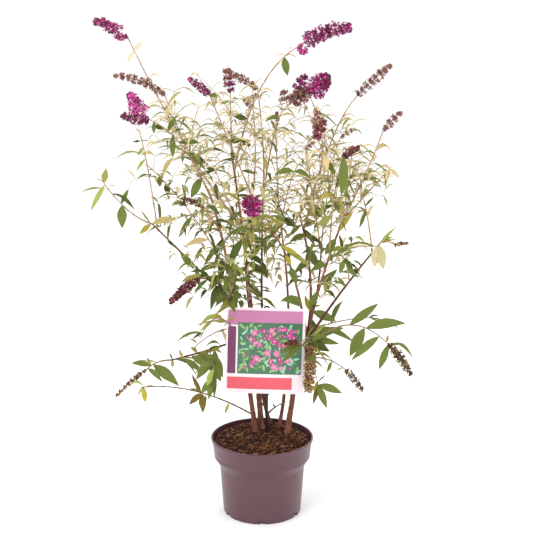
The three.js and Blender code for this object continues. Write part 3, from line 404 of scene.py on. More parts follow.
# Spikes that hang with others or are too small for the solids, and where each starts.
MORE_SPIKES = (
    ("bloom_left", 0.98, spike_of(26, -168, 56, 12, -6, "dull")),
    ("arch_centre", 0.93, spike_of(17, -170, 28, -12, 0)),
    ("spire_right", 1, spike_of(22, 20, 16, -16, 4, "bright")),
    ("plume_centre", 1, spike_of(34, 165, 14, 34, 8, foot=0.3)),
    ("plume_centre", 1, spike_of(40, -20, 66, 40, 12, foot=0.2)),
    ("bloom_inner", 1, spike_of(24, 10, 18, 40, 4, "fading")),
    ("fill_right", 1, spike_of(18, 15, 24, 18, 4)),
    ("spire_left", 1, spike_of(17, -170, 24, -4, 0, "bright")),
    ("plume_centre", 1, spike_of(26, 10, 40, 66, 12, "dull", foot=0.5)),
    ("plume_hanging", 1, spike_of(32, -140, 8, -100, 0, "green")),
    ("plume_low_left", 0.96, spike_of(26, -150, 72, -42, 10, "wine")),
)

# Twigs too thin for the solids, which carry listed leaves.
MORE_TWIGS = (stem_of("twig_hanging", "plume_hanging", 0.96, 20, 19, -92, -10),)

# Limbs whose bark is dark and maroon; the others are reddish tan.
DARK_WOOD = (
    "cane_thin", "cane_rear", "bough_left", "bough_reach", "bough_inner", "bough_low_left", "stub_dead",
    "twig_dead",
)

# The stretches of the canes and boughs that bear fine twigs of their own.
TWIGGY = dict(
    cane_left=(0.45, 0.98), cane_middle=(0.45, 0.98), cane_thin=(0.6, 0.98), cane_back=(0.65, 0.98),
    cane_rear=(0.55, 0.98), bough_upper=(0.3, 0.98), bough_cross=(0.5, 0.98), bough_outer=(0.3, 0.98),
    bough_inner=(0.35, 0.98), bough_left=(0.2, 0.5),
)


# ---- the growing rule

def times(a, b):
    """The low 32 bits of a product, as whole-number arithmetic on a machine gives them."""
    return (a * b) & 0xFFFFFFFF


def chance(*keys):
    """A number from 0 to 1 that depends only on its whole-number keys."""
    h = SEED
    for key in keys:
        h = times(h ^ key, 0x9E3779B1)
        h ^= h >> 15
        h = times(h, 0x85EBCA6B)
        h ^= h >> 13
    return h / 4294967296


def compass(degrees):
    return np.array([math.cos(math.radians(degrees)), math.sin(math.radians(degrees)), 0.0])


def lerp(a, b, t):
    return a + (b - a) * t


def unit(v):
    """Vectors along the last axis, made one long."""
    return v / np.maximum(np.linalg.norm(v, axis=-1, keepdims=True), 1e-9)


class Bend:
    """A quadratic curve from start past middle to end, read by shares of its own length."""

    STEPS = 200

    def __init__(self, start, middle, end):
        self.start, self.middle, self.end = (np.asarray(p, float) for p in (start, middle, end))
        self.t = np.linspace(0, 1, self.STEPS + 1)
        steps = np.linalg.norm(np.diff(self.at(self.t), axis=0), axis=1)
        self.lengths = np.concatenate([[0.0], np.cumsum(steps)])
        self.length = self.lengths[-1]

    def at(self, t):
        """(1-t)^2 start + 2t(1-t) middle + t^2 end."""
        t = np.asarray(t, float)[..., None]
        return (1 - t) ** 2 * self.start + 2 * t * (1 - t) * self.middle + t**2 * self.end

    def _t(self, share):
        return np.interp(np.asarray(share, float) * self.length, self.lengths, self.t)

    def point(self, share):
        return self.at(self._t(share))

    def tangent(self, share):
        t = self._t(share)[..., None]
        return unit(2 * (1 - t) * (self.middle - self.start) + 2 * t * (self.end - self.middle))

    def plane(self):
        """The level or square-to-the-bend direction that the section's first axis takes all along."""
        chord = self.end - self.start
        side = np.cross(self.point(0.5) - self.start, chord)
        if np.linalg.norm(side) < 1e-3 * chord.dot(chord):
            side = np.cross(UP, self.tangent(0.5))
        if side.dot(side) < 1e-6:
            side = np.array([1.0, 0.0, 0.0])
        return unit(side)


def route(start, spec):
    """The curve of a limb or shoot: out along its heading and up, its middle pulled by arch and sweep."""
    start = np.asarray(start, float)
    end = start + compass(spec["heading"]) * spec["out"] + UP * spec["up"]
    middle = (start + end) / 2 + UP * spec.get("arch", 0)
    middle = middle + compass(spec["heading"] + 90) * spec.get("sweep", 0)
    return Bend(start, middle, end)


def leaf_pairs(curve, habit, leafy, keys):
    """Leaves in pairs along a stem, each pair square to the last, shortening up the stem."""
    low, high = leafy
    pairs = max(1, math.floor((high - low) * curve.length / habit["pitch"] + 0.5))
    side = curve.plane()
    found = []
    for pair in range(pairs):
        step = (pair + 0.4 * chance(*keys, pair, THROW["place"])) / (pairs - 0.6) if pairs > 1 else 0.8
        share = min(lerp(low, high, step), 1.0)
        along = curve.tangent(share)
        over = np.cross(along, side)
        turn = (pair % 2) * math.pi / 2 + 0.8 * (chance(*keys, pair, THROW["turn"]) - 0.5)
        for half in (0, 1):
            spin = turn + half * math.pi + 0.5 * (chance(*keys, pair, THROW["round"] + half) - 0.5)
            outward = side * math.cos(spin) + over * math.sin(spin)
            lift = math.radians(habit["angle"] + 22 * (chance(*keys, pair, THROW["lift"] + half) - 0.5))
            size = (0.72 + 0.4 * chance(*keys, pair, THROW["size"] + half)) * (1 - 0.18 * share)
            found.append(dict(
                root=curve.point(share), stem=along, outward=outward,
                along=unit(along * math.cos(lift) + outward * math.sin(lift)),
                face=UP + 0.8 * along, length=habit["length"] * size,
                width=habit["width"] * (0.4 + 0.6 * size),
                droop=habit["droop"] * (0.5 + chance(*keys, pair, THROW["droop"] + half)),
                share=share, keys=(*keys, pair, half)))
    return found


def side_twig(spot, habit):
    """A side twig in a leaf's place: it leaves as the leaf would, leans up and bows."""
    leaves_long = SIDE_TWIG["reach"] + SIDE_TWIG["spread"] * chance(*spot["keys"], THROW["reach"])
    reach = habit["length"] * leaves_long
    end = spot["root"] + unit(spot["along"] + UP * SIDE_TWIG["rise"]) * reach
    middle = (spot["root"] + end) / 2 + UP * SIDE_TWIG["bow"] * reach
    return Bend(spot["root"], middle, end)


def tone_of(mixture, throw):
    """The tone that a throw of chance picks from a mixture of shares."""
    return TONE_NAMES[int(np.searchsorted(np.cumsum(mixture)[:-1], throw, side="right"))]


class Plant:
    """Every limb's and shoot's curve, and what the growing rule puts on them."""

    def __init__(self):
        self.limbs, self.shoots, self.twigs, self.leaves, self.spikes = {}, {}, [], [], []
        for spec in CANES:
            self.limbs[spec["name"]] = route((*spec["foot"], SOIL["ground"] - 2), spec)
        for spec in BOUGHS:
            self.limbs[spec["name"]] = route(self.limbs[spec["on"]].point(spec["at"]), spec)
        for index, spec in enumerate(MASSES):
            self.grow(index, spec)
        for spec in MORE_TWIGS:
            self.shoots[spec["name"]] = route(self.stem(spec["on"]).point(spec["at"]), spec)
            self.twigs.append((self.shoots[spec["name"]], *THIN_TWIG))
        for index, (name, stretch) in enumerate(TWIGGY.items()):
            keys = (THROW["limb"] + index,)
            self.fine_twigs(self.limbs[name], HABITS["middle"], MIXTURES["middle"], stretch, keys)
        for name, rows in KEY_LEAVES.items():
            before = BEFORE["limb" if name in self.limbs else "shoot"]
            for share, *row in rows:
                self.set_leaf(self.stem(name), before, share / 100, *row)
        for index, (name, share, spike) in enumerate(MORE_SPIKES):
            curve = route(self.stem(name).point(share), spike)
            self.spikes.append(dict(spike, curve=curve, seed=len(MASSES) + index))

    def stem(self, name):
        return self.shoots.get(name) or self.limbs[name]

    def set_leaf(self, stem, before, share, heading, rise, length, width,
                 tone="green", sag=0.0, facing="front"):
        """A listed leaf; one that faces the front grows from the front of its stem."""
        rise = math.radians(rise)
        along = compass(heading) * math.cos(rise) + UP * math.sin(rise)
        face = np.array(FACES[facing], float) + (0.8 * along if facing == "up" else 0)
        root = stem.point(share) + (np.array([0, -before, 0]) if facing == "front" else 0)
        self.leaves.append(dict(root=root, along=along, face=face, length=length, width=width,
                                droop=sag, arch=0.35 * sag, tone=tone, calm=0.25))

    def grow(self, index, spec):
        """A shoot with its spike, leaf pairs and side twigs, fine twigs, and smaller pairs in between."""
        curve = route(self.limbs[spec["on"]].point(spec["at"]), spec)
        habit = HABITS[spec["habit"]]
        mixture = MIXTURES[spec["habit"]]
        kept, bare = spec.get("kept", 1.0), spec.get("bare", 1.0)
        self.shoots[spec["name"]] = curve
        if "bloom" in spec:
            spindle = route(curve.point(SPIKE_AT), spec["bloom"])
            self.spikes.append(dict(spec["bloom"], curve=spindle, seed=index))
        smaller = dict(habit, length=SIDE_TWIG["length"] * habit["length"],
                       width=SIDE_TWIG["width"] * habit["width"], pitch=SIDE_TWIG["pitch"])
        for spot in leaf_pairs(curve, habit, spec["leafy"], (index,)):
            if spot["share"] > bare or chance(*spot["keys"], THROW["kept"]) > kept:
                continue
            branches = chance(*spot["keys"], THROW["twig"]) < habit["side_rate"]
            if branches and spot["share"] < SIDE_TWIG["below"]:
                twig = side_twig(spot, habit)
                self.twigs.append((twig, *SIDE_TWIG["radii"]))
                for leaf in leaf_pairs(twig, smaller, SIDE_TWIG["leafy"], spot["keys"]):
                    self.hang(leaf, habit, mixture)
                continue
            self.hang(spot, habit, mixture)
            self.tuft(spot, habit, mixture)
        if kept > FINE_TWIG["spare"]:
            last = min(bare, FINE_TWIG["below_bloom" if "bloom" in spec else "below_tip"])
            self.fine_twigs(curve, habit, mixture, (FINE_TWIG["first"], last), (index,))
        between = dict(habit, **{size: share * habit[size] for size, share in SMALL_PAIR.items()})
        for leaf in leaf_pairs(curve, between, spec["leafy"], (index, THROW["small"])):
            if leaf["share"] < bare and chance(*leaf["keys"], THROW["small"]) < habit["finer"] * kept:
                self.hang(leaf, habit, mixture)

    def fine_twigs(self, curve, habit, mixture, span, keys):
        """Twigs from places spaced along a stem, each with its own pairs of leaves."""
        low, high = span
        side = curve.plane()
        small = dict(habit, length=FINE_TWIG["length"] * habit["length"],
                     width=FINE_TWIG["width"] * habit["width"], pitch=FINE_TWIG["pitch"],
                     angle=FINE_TWIG["spread"], droop=FINE_TWIG["droop"])
        for place in range(round((high - low) * curve.length / FINE_TWIG["step"])):
            throw = [chance(*keys, THROW["fine"], place, which) for which in range(6)]
            if throw[0] > habit["twigs"]:
                continue
            share = low + (place + throw[1]) * FINE_TWIG["step"] / curve.length
            along = curve.tangent(share)
            turn = 2 * math.pi * throw[2]
            away = side * math.cos(turn) + np.cross(along, side) * math.sin(turn)
            lift = math.radians(lerp(*FINE_TWIG["angle"], throw[3]))
            way = along * math.cos(lift) + away * math.sin(lift)
            reach = lerp(*FINE_TWIG["reach"], throw[4] ** 1.4)
            root = curve.point(share)
            end = root + way * reach
            twig = Bend(root, (root + end) / 2 + UP * FINE_TWIG["bow"] * reach, end)
            self.twigs.append((twig, *FINE_TWIG["radii"]))
            tone = tone_of(mixture, throw[5])
            for leaf in leaf_pairs(twig, small, FINE_TWIG["leafy"], (*keys, THROW["fine"], place)):
                same = chance(*leaf["keys"]) < FINE_TWIG["same_tone"]
                self.hang(leaf, habit, mixture, tone if same else None)

    def hang(self, leaf, habit, mixture, tone=None):
        """Adds a leaf at its real width; its tone is its spray's, unless one is given."""
        tone = tone or tone_of(mixture, chance(*leaf["keys"][:-1], THROW["tone"]))
        along = unit(leaf["along"] * (1, 1, 1 - habit["level"]) + UP * 0.1)
        tilt = habit["roll"] * (chance(*leaf["keys"], THROW["tilt"]) - 0.5)
        face = UP + 0.8 * along + np.cross(along, UP) * tilt
        self.leaves.append(dict(leaf, along=along, face=face, droop=leaf["droop"] * habit["sag"],
                                width=leaf["width"] * habit["slim"], arch=habit["arch"], tone=tone, calm=1))

    def tuft(self, spot, habit, mixture):
        """Small young leaves in a leaf's axil, standing up along the stem."""
        for i in range(TUFT["leaves"]):
            keys = (*spot["keys"], THROW["small"] + 1 + i)
            size = lerp(*TUFT["size"], chance(*keys, 1))
            turn = TUFT["turn"] * (chance(*keys, 2) - 0.5)
            across = np.cross(spot["stem"], spot["outward"])
            away = spot["outward"] * math.cos(turn) + across * math.sin(turn)
            along = unit(spot["stem"] + away * lerp(*TUFT["out"], chance(*keys, 3)))
            young = dict(spot, along=along, length=spot["length"] * size,
                         width=spot["width"] * (0.35 + 0.5 * size), keys=keys)
            self.hang(young, habit, mixture)


PLANT = Plant()


# ---- meshes

class Shape:
    """The faces of one small form, and where each corner sits on its texture square, to be repeated."""

    def __init__(self, points, faces, slots=None, uv=None):
        self.points = points
        self.sizes = np.array([len(f) for f in faces], np.int32)
        self.loops = np.array([i for f in faces for i in f], np.int32)
        self.slots = np.zeros(len(faces), np.int32) if slots is None else np.array(slots, np.int32)
        self.uv = np.zeros((points, 2)) if uv is None else np.asarray(uv, float)


class Heap:
    """Repeated shapes gathered for one mesh."""

    def __init__(self):
        self.parts, self.count = [], 0

    def add(self, shape, points):
        """points is (copies, points of the shape, 3), in millimetres."""
        points = np.asarray(points, float).reshape(-1, shape.points, 3)
        if not len(points):
            return
        offsets = self.count + np.arange(len(points))[:, None] * shape.points
        self.parts.append((points.reshape(-1, 3), (shape.loops[None, :] + offsets).ravel(),
                           np.tile(shape.sizes, len(points)), np.tile(shape.slots, len(points)),
                           np.tile(shape.uv[shape.loops], (len(points), 1))))
        self.count += len(points) * shape.points

    def build(self, name, materials, smooth=True, crease=None, mapped=False):
        """One mesh object at the origin, from everything in the heap."""
        points, loops, sizes, slots, uv = (np.concatenate(part) for part in zip(*self.parts))
        mesh = bpy.data.meshes.new(name)
        mesh.vertices.add(len(points))
        mesh.vertices.foreach_set("co", (points * MM).astype(np.float32).ravel())
        mesh.loops.add(len(loops))
        mesh.loops.foreach_set("vertex_index", loops.astype(np.int32))
        mesh.polygons.add(len(sizes))
        mesh.polygons.foreach_set("loop_start", (np.cumsum(sizes) - sizes).astype(np.int32))
        mesh.polygons.foreach_set("material_index", slots)
        mesh.polygons.foreach_set("use_smooth", np.full(len(sizes), smooth))
        for material in materials:
            mesh.materials.append(material)
        if mapped:
            mesh.uv_layers.new(name="leaf").data.foreach_set("uv", uv.astype(np.float32).ravel())
        mesh.update(calc_edges=True)
        if mesh.validate():
            raise RuntimeError(f"{name} had faces that Blender had to mend")
        if crease:
            mesh.set_sharp_from_angle(angle=math.radians(crease))
        obj = bpy.data.objects.new(name, mesh)
        bpy.context.scene.collection.objects.link(obj)
        return obj


def grid(rows, columns, round_rows=False, round_columns=True, first=0):
    """The four-sided faces of a grid of points, row after row, which may close on itself either way."""
    row, column = np.meshgrid(np.arange(rows if round_rows else rows - 1),
                              np.arange(columns if round_columns else columns - 1), indexing="ij")
    here, there = row * columns, (row + 1) % rows * columns
    after = (column + 1) % columns
    return (first + np.stack([here + column, here + after, there + after, there + column], -1)).reshape(-1, 4)


def tube_shape(rings, sides):
    """A closed tube of rings of corners, with a flat face at either end."""
    start, end = list(range(sides))[::-1], list(range((rings - 1) * sides, rings * sides))
    return Shape(rings * sides, grid(rings, sides).tolist() + [start, end])


def circles(side, over, sides):
    """The directions from each centre to the corners of its ring: side cos a + over sin a."""
    angle = np.arange(sides) * 2 * math.pi / sides
    return side[:, None, :] * np.cos(angle)[None, :, None] + over[:, None, :] * np.sin(angle)[None, :, None]


def curve_tube(curve, radius_at, rings, sides):
    """One tube along a Bend. radius_at takes shares (rings, 1) and angles (1, sides), and gives radii."""
    share = np.linspace(0, 1, rings)
    along = curve.tangent(share)
    side = np.broadcast_to(curve.plane(), along.shape)
    angle = np.arange(sides) * 2 * math.pi / sides
    radii = np.broadcast_to(radius_at(share[:, None], angle[None, :]), (rings, sides))
    return curve.point(share)[:, None, :] + radii[..., None] * circles(side, np.cross(along, side), sides)


def straight_tubes(starts, ends, start_radius, end_radius, sides=3):
    """Many straight two-ringed tubes at once, each with any pair of axes square to its run."""
    along = unit(ends - starts)
    side = unit(np.cross(along, np.array([0.31, 0.17, 0.93])))
    around = circles(side, np.cross(along, side), sides)
    rings = np.stack([starts[:, None, :] + start_radius * around, ends[:, None, :] + end_radius * around], 1)
    return rings.reshape(len(starts), -1, 3)


# ---- leaves

def leaf_shape(stations):
    """A closed blade: root, then left, rib, right and underside points at each station, then the tip."""
    n = len(stations)
    root, tip = 0, 1 + 4 * n
    left, rib, right, under = ([1 + 4 * k + j for k in range(n)] for j in range(4))
    faces, slots = [], []

    def face(slot, *corners):
        faces.append(corners)
        slots.append(slot)

    face(0, root, rib[0], left[0])
    face(0, root, right[0], rib[0])
    face(1, root, left[0], under[0])
    face(1, root, under[0], right[0])
    for k in range(n - 1):
        face(0, left[k], rib[k], rib[k + 1], left[k + 1])
        face(0, rib[k], right[k], right[k + 1], rib[k + 1])
        face(1, left[k], left[k + 1], under[k + 1], under[k])
        face(1, under[k], under[k + 1], right[k + 1], right[k])
    face(0, left[-1], rib[-1], tip)
    face(0, rib[-1], right[-1], tip)
    face(1, left[-1], tip, under[-1])
    face(1, under[-1], tip, right[-1])
    uv = [(0, 0.5)] + [(u, v) for u in stations for v in (0, 0.5, 1, 0.5)] + [(1, 0.5)]
    return Shape(2 + 4 * n, faces, slots, uv)


# The shares of the length at which a leaf's margins have corners: fewer on leaves that aren't long.
STATIONS = (0.06, 0.2, 0.36, 0.54, 0.72, 0.88)
SMALL_STATIONS = (0.14, 0.45, 0.78)
LONG_LEAF = 36

# How much leaves vary: the fold in degrees, the twist and the sway (as spreads), the ripple, and the arch.
VARY = dict(fold=(4, 30), twist=0.45, sway=0.07, ripple=(0.0, 0.1), arch=(0.4, 1.5))

# How far leaves keep from the card: sideways, before and behind it, and above and below.
CARD_GAP = (3, 4, 5)


def blade_width(u):
    """Share of the full width at share u of the length: a spindle, widest just before its middle."""
    return np.sin(math.pi * np.clip(u, 0, 1) ** 0.88) ** 0.95


def leaf_points(leaves, stations, rng, thickness):
    """Corners of many leaves at once.

    A corner lies forward along the leaf by its share (less as the leaf droops more), sideways by the half
    width there, raised at the margins by the fold and a ripple, hung down by droop times the share to the
    power 2.4, and lifted by an arch of 4u(1-u). A slow twist turns the blade towards its tip, and a sway
    bends it to one side.
    """
    def get(key):
        return np.array([leaf[key] for leaf in leaves], float)

    root, along, face = get("root"), unit(get("along")), get("face")
    length, width, droop = get("length")[:, None], get("width")[:, None], get("droop")[:, None]
    count = len(leaves)
    calm = get("calm")[:, None]
    fold = np.radians(rng.uniform(*VARY["fold"], (count, 1)))
    twist = rng.normal(0, VARY["twist"], (count, 1)) * calm
    sway = rng.normal(0, VARY["sway"], (count, 1)) * calm**0.5
    ripple, phase = rng.uniform(*VARY["ripple"], (count, 1)), rng.uniform(0, 2 * math.pi, (count, 1))
    across = unit(np.cross(along, face))
    normal = unit(np.cross(across, along))
    u = np.concatenate([[0], np.repeat(stations, 4), [1]])[None, :]
    v = np.concatenate([[0], np.tile([-1, 0, 1, 0], len(stations)), [0]])[None, :]
    below = np.concatenate([[0], np.tile([0, 0, 0, 1], len(stations)), [0]])[None, :]
    half = 0.5 * width * blade_width(u)
    half = np.maximum(half, np.where((u > 0) & (u < 1), 0.5, 0))
    turn = twist * u**1.3
    sideways = v * half * np.cos(fold)
    raised = np.abs(v) * half * np.sin(fold) + v * half * ripple * 4 * np.sin(9 * u + phase) * (np.abs(v) > 0)
    raised = raised - below * thickness * (1 - 0.6 * u)
    a, n = sideways * np.cos(turn) - raised * np.sin(turn), sideways * np.sin(turn) + raised * np.cos(turn)
    a = a + sway * length * u**2
    arch = get("arch")[:, None] * rng.uniform(*VARY["arch"], (count, 1))
    hang = (arch * 4 * u * (1 - u) - u**2.4 * droop) * length
    forward = (1 - 0.4 * droop) * length * u
    points = root[:, None] + along[:, None] * forward[..., None] + across[:, None] * a[..., None]
    points = points + normal[:, None] * n[..., None]
    points[..., 2] += hang
    return points


def clear_of_card(points):
    """True for each leaf that keeps off the label's card."""
    reach = np.array([LABEL["width"] / 2, 0, LABEL["height"] / 2]) + CARD_GAP
    return ~(np.abs(points - LABEL["centre"]) < reach).all(axis=-1).any(axis=1)


# ---- blossom

def floret_shape():
    """A four-lobed flower: its centre, three rim points a lobe, four throat points and its tube's tail."""
    faces = []
    for i in range(12):
        faces.append((0, 1 + i, 1 + (i + 1) % 12))
    for lobe in range(4):
        rim = [1 + (3 * lobe + j) % 12 for j in range(4)]
        here, there = 13 + lobe, 13 + (lobe + 1) % 4
        faces += [(rim[1], rim[0], here), (rim[2], rim[1], here), (rim[2], here, there),
                  (rim[3], rim[2], there), (there, here, 17)]
    return Shape(18, faces)


def capsule_shape():
    """A bud or seed pod: a foot, two rings of four, and a tip."""
    faces = []
    for i in range(4):
        j = (i + 1) % 4
        faces += [(0, 1 + j, 1 + i), (1 + i, 1 + j, 5 + j, 5 + i), (5 + i, 5 + j, 9)]
    return Shape(10, faces)


def placed(local, feet, ways, scale, spin):
    """Copies of local points (copies, n, 3), their third axis turned to `ways`, their origin at `feet`."""
    side = unit(np.cross(ways, np.array([0.23, 0.91, 0.34])))
    over = np.cross(ways, side)
    one = side * np.cos(spin)[:, None] + over * np.sin(spin)[:, None]
    two = np.cross(ways, one)
    local = local * scale[:, None, :]
    return feet[:, None] + (local[..., 0:1] * one[:, None] + local[..., 1:2] * two[:, None]
                            + local[..., 2:3] * ways[:, None])


def floret_points(feet, ways, radius, tube, rng):
    """The rim stands a tube's length from the foot; lobes are wide at their ends and a little recurved."""
    angle = np.radians([90 * lobe + turn for lobe in range(4) for turn in (-25, 25, 45)])
    far = np.tile([1.0, 1.0, 0.42], 4)
    rim = np.stack([far * np.cos(angle), far * np.sin(angle), np.zeros(12)], -1)
    throat = [(0.24 * math.cos(a), 0.24 * math.sin(a), -0.22) for a in np.radians([0, 90, 180, 270])]
    local = np.concatenate([[(0, 0, -0.14)], rim, throat, [(0, 0, 0)]])
    local = np.repeat(local[None], len(feet), 0)
    local[:, 1:13] += rng.normal(0, 0.09, (len(feet), 12, 3))
    local[:, 1:13, 2] -= 0.12 * np.tile([1, 1, 0], 4)
    local[:, :17, 2] = local[:, :17, 2] * radius[:, None] + tube[:, None]
    scale = np.stack([radius, radius, np.ones(len(feet))], -1)
    return placed(local, feet, ways, scale, rng.uniform(0, 2 * math.pi, len(feet)))


def capsule_points(feet, ways, width, length, rng):
    """A foot, a ring at 0.28 of the length, a wider one at 0.66 of it, and the tip."""
    corner = np.radians([0, 90, 180, 270])
    low = np.stack([0.36 * np.cos(corner), 0.36 * np.sin(corner), np.full(4, 0.28)], -1)
    high = np.stack([0.5 * np.cos(corner), 0.5 * np.sin(corner), np.full(4, 0.66)], -1)
    local = np.repeat(np.concatenate([[(0, 0, 0)], low, high, [(0, 0, 1)]])[None], len(feet), 0)
    local = local + rng.normal(0, 0.05, local.shape)
    return placed(local, feet, ways, np.stack([width, width, length], -1), rng.uniform(0, 6.3, len(feet)))


# How each kind of spike is made up: the share of open flowers, the tones of those and of its buds and pods,
# how far its clusters stand apart (mm), and how strongly they part. `swollen` widens its pods, and `blunt`
# is the power of its outline.
KINDS = dict(
    bright=dict(open=0.9, pitch=15, part=0.3, flowers=dict(bright=0.6, deep=0.3, dusky=0.1),
                pods=dict(wine=1.0)),
    strong=dict(open=0.75, pitch=15, part=0.4, flowers=dict(bright=0.35, deep=0.4, dusky=0.25),
                pods=dict(wine=1.0)),
    full=dict(open=0.95, pitch=12, part=0.1, flowers=dict(bright=0.12, rich=0.58, dusky=0.3),
              pods=dict(wine=1.0)),
    dull=dict(open=0.7, pitch=12, part=0.35, flowers=dict(bright=0.1, deep=0.3, dusky=0.6),
              pods=dict(wine=0.6, brown=0.4)),
    dusky=dict(open=0.75, pitch=13, part=0.6, flowers=dict(bright=0.3, deep=0.4, dusky=0.3),
               pods=dict(wine=0.9, brown=0.1)),
    fading=dict(open=0.4, pitch=13, part=0.6, flowers=dict(deep=0.6, dusky=0.4),
                pods=dict(wine=0.4, brown=0.6)),
    wine=dict(open=0.04, pitch=11, part=0.25, flowers=dict(dusky=1.0), pods=dict(wine=0.85, brown=0.15),
              swollen=1.3),
    spent=dict(open=0.02, pitch=13, part=0.5, flowers=dict(dusky=1.0), pods=dict(wine=0.15, brown=0.85)),
    husk=dict(open=0.0, pitch=12, part=0.35, flowers=dict(dusky=1.0), pods=dict(husk=0.7, green=0.3),
              swollen=1.15),
    green=dict(open=0.0, pitch=10, part=0.2, flowers=dict(dusky=1.0),
               pods=dict(green=0.66, wine=0.1, brown=0.24), swollen=1.3, blunt=0.2),
)

# The mean distances between flowers and between pods (mm), and the share of them that have a stalk of their
# own.
FLOWER_SPACING = 4.0
POD_SPACING = 3.7
STALKED = 0.3

# The range of a flower's radius and its longest tube, and of a pod's width and length (mm).
FLOWER_RADIUS, LONGEST_TUBE = (2.4, 3.5), 8
POD_WIDTH, POD_LENGTH = (1.7, 2.8), (4.5, 7.0)


def dealt(tones, throws):
    """The tone that each throw of chance picks."""
    names, shares = list(tones), np.cumsum(list(tones.values()))
    return np.array(names)[np.minimum(np.searchsorted(shares, throws, side="right"), len(names) - 1)]


def swell(t, blunt):
    """The spike's outline, sin(pi (0.1 + 0.8 t^0.8)) to a power: it swells early and tapers to its tip."""
    return np.sin(math.pi * (0.1 + 0.8 * t**0.8)) ** blunt


def build_spike(spike, flowers, pods, stalks):
    """A spike's flowers and pods, spread over its outline and drawn towards opposite clusters up its axis.

    Each stands at 0.42 to 1.04 of the outline's radius, near a whorl's level and near one of its two sides;
    each whorl is square to the last, and each side of a whorl has a size of its own.
    """
    curve, girth, foot, kind = spike["curve"], spike["girth"], spike["foot"], KINDS[spike["kind"]]
    rng = np.random.default_rng(1000 + spike["seed"])
    skin = 2 * math.pi * curve.length * (1 - foot) * girth / 2 * 0.75
    spacing = lerp(POD_SPACING, FLOWER_SPACING, kind["open"])
    count = round(skin / spacing**2)
    whorls = max(3, round(curve.length / kind["pitch"]))
    t = foot + (1 - foot) * rng.random(count)
    part = kind["part"]
    whorl = np.floor(t * whorls).astype(int).clip(0, whorls - 1)
    t = np.clip(lerp(t, (whorl + 0.5) / whorls, part * 0.6), 0.01, 1)
    turn = whorl % 2 * math.pi / 2 + rng.integers(0, 2, count) * math.pi
    turn = turn + rng.normal(0, lerp(1.6, 0.6, part), count)
    cluster = (np.cos(turn - whorl % 2 * 1.57) > 0) * 1
    size = rng.uniform(1 - 0.4 * part, 1 + 0.4 * part, (whorls, 2))[whorl, cluster]
    radius = girth / 2 * swell(t, kind.get("blunt", 0.7)) * size * (0.42 + 0.62 * rng.random(count) ** 0.6)
    along = curve.tangent(t)
    side = curve.plane()
    out = side * np.cos(turn)[:, None] + np.cross(along, side) * np.sin(turn)[:, None]
    ways = unit(out + along * rng.uniform(0.0, 0.7, (count, 1)) + rng.normal(0, 0.3, (count, 3)))
    tips = curve.point(t) + out * radius[:, None]
    opened = rng.random(count) < kind["open"]
    flower_tones = dealt(kind["flowers"], rng.random(count))
    tones = np.where(opened, flower_tones, dealt(kind["pods"], rng.random(count)))
    flower_radius = rng.uniform(*FLOWER_RADIUS, count)
    width = np.where(opened, flower_radius, rng.uniform(*POD_WIDTH, count) * kind.get("swollen", 1))
    depth = np.where(opened, np.minimum(LONGEST_TUBE, radius + 2), rng.uniform(*POD_LENGTH, count))
    feet = tips - ways * depth[:, None]
    floret, capsule = (opened, flowers, FLORET, floret_points), (~opened, pods, CAPSULE, capsule_points)
    for state, heaps, shape, points_of in (floret, capsule):
        for tone in sorted(set(tones[state])):
            pick = state & (tones == tone)
            heaps.setdefault(tone, Heap()).add(
                shape, points_of(feet[pick], ways[pick], width[pick], depth[pick], rng))
    pick = rng.random(count) < STALKED
    stalks.append((curve.point(np.maximum(t[pick] - 0.03, 0)), feet[pick]))


FLORET, CAPSULE = floret_shape(), capsule_shape()


# ---- looks

def srgb(red, green, blue):
    """A colour given as it is seen, 0 to 255, turned into light."""
    return tuple(c / 12.92 if c <= 0.04045 else ((c + 0.055) / 1.055) ** 2.4
                 for c in (red / 255, green / 255, blue / 255))


def group(name, inputs, outputs):
    """An empty node group with its sockets, and its two end nodes."""
    tree = bpy.data.node_groups.new(name, "ShaderNodeTree")
    for label, kind, default in inputs:
        socket = tree.interface.new_socket(name=label, in_out="INPUT", socket_type=kind)
        socket.default_value = default
    for label, kind in outputs:
        tree.interface.new_socket(name=label, in_out="OUTPUT", socket_type=kind)
    return tree, tree.nodes.new("NodeGroupInput"), tree.nodes.new("NodeGroupOutput")


def wired(tree, kind, inputs, **settings):
    """A new node, each input linked where its value is a socket, and set where it is a number."""
    node = tree.nodes.new(f"ShaderNode{kind}")
    for name, value in settings.items():
        setattr(node, name, value)
    for place, value in inputs.items():
        if isinstance(value, bpy.types.NodeSocket):
            tree.links.new(value, node.inputs[place])
        else:
            node.inputs[place].default_value = value
    return node


def maths(tree, operation, *values):
    """The result of one sum over sockets and numbers."""
    return wired(tree, "Math", dict(enumerate(values)), operation=operation).outputs[0]


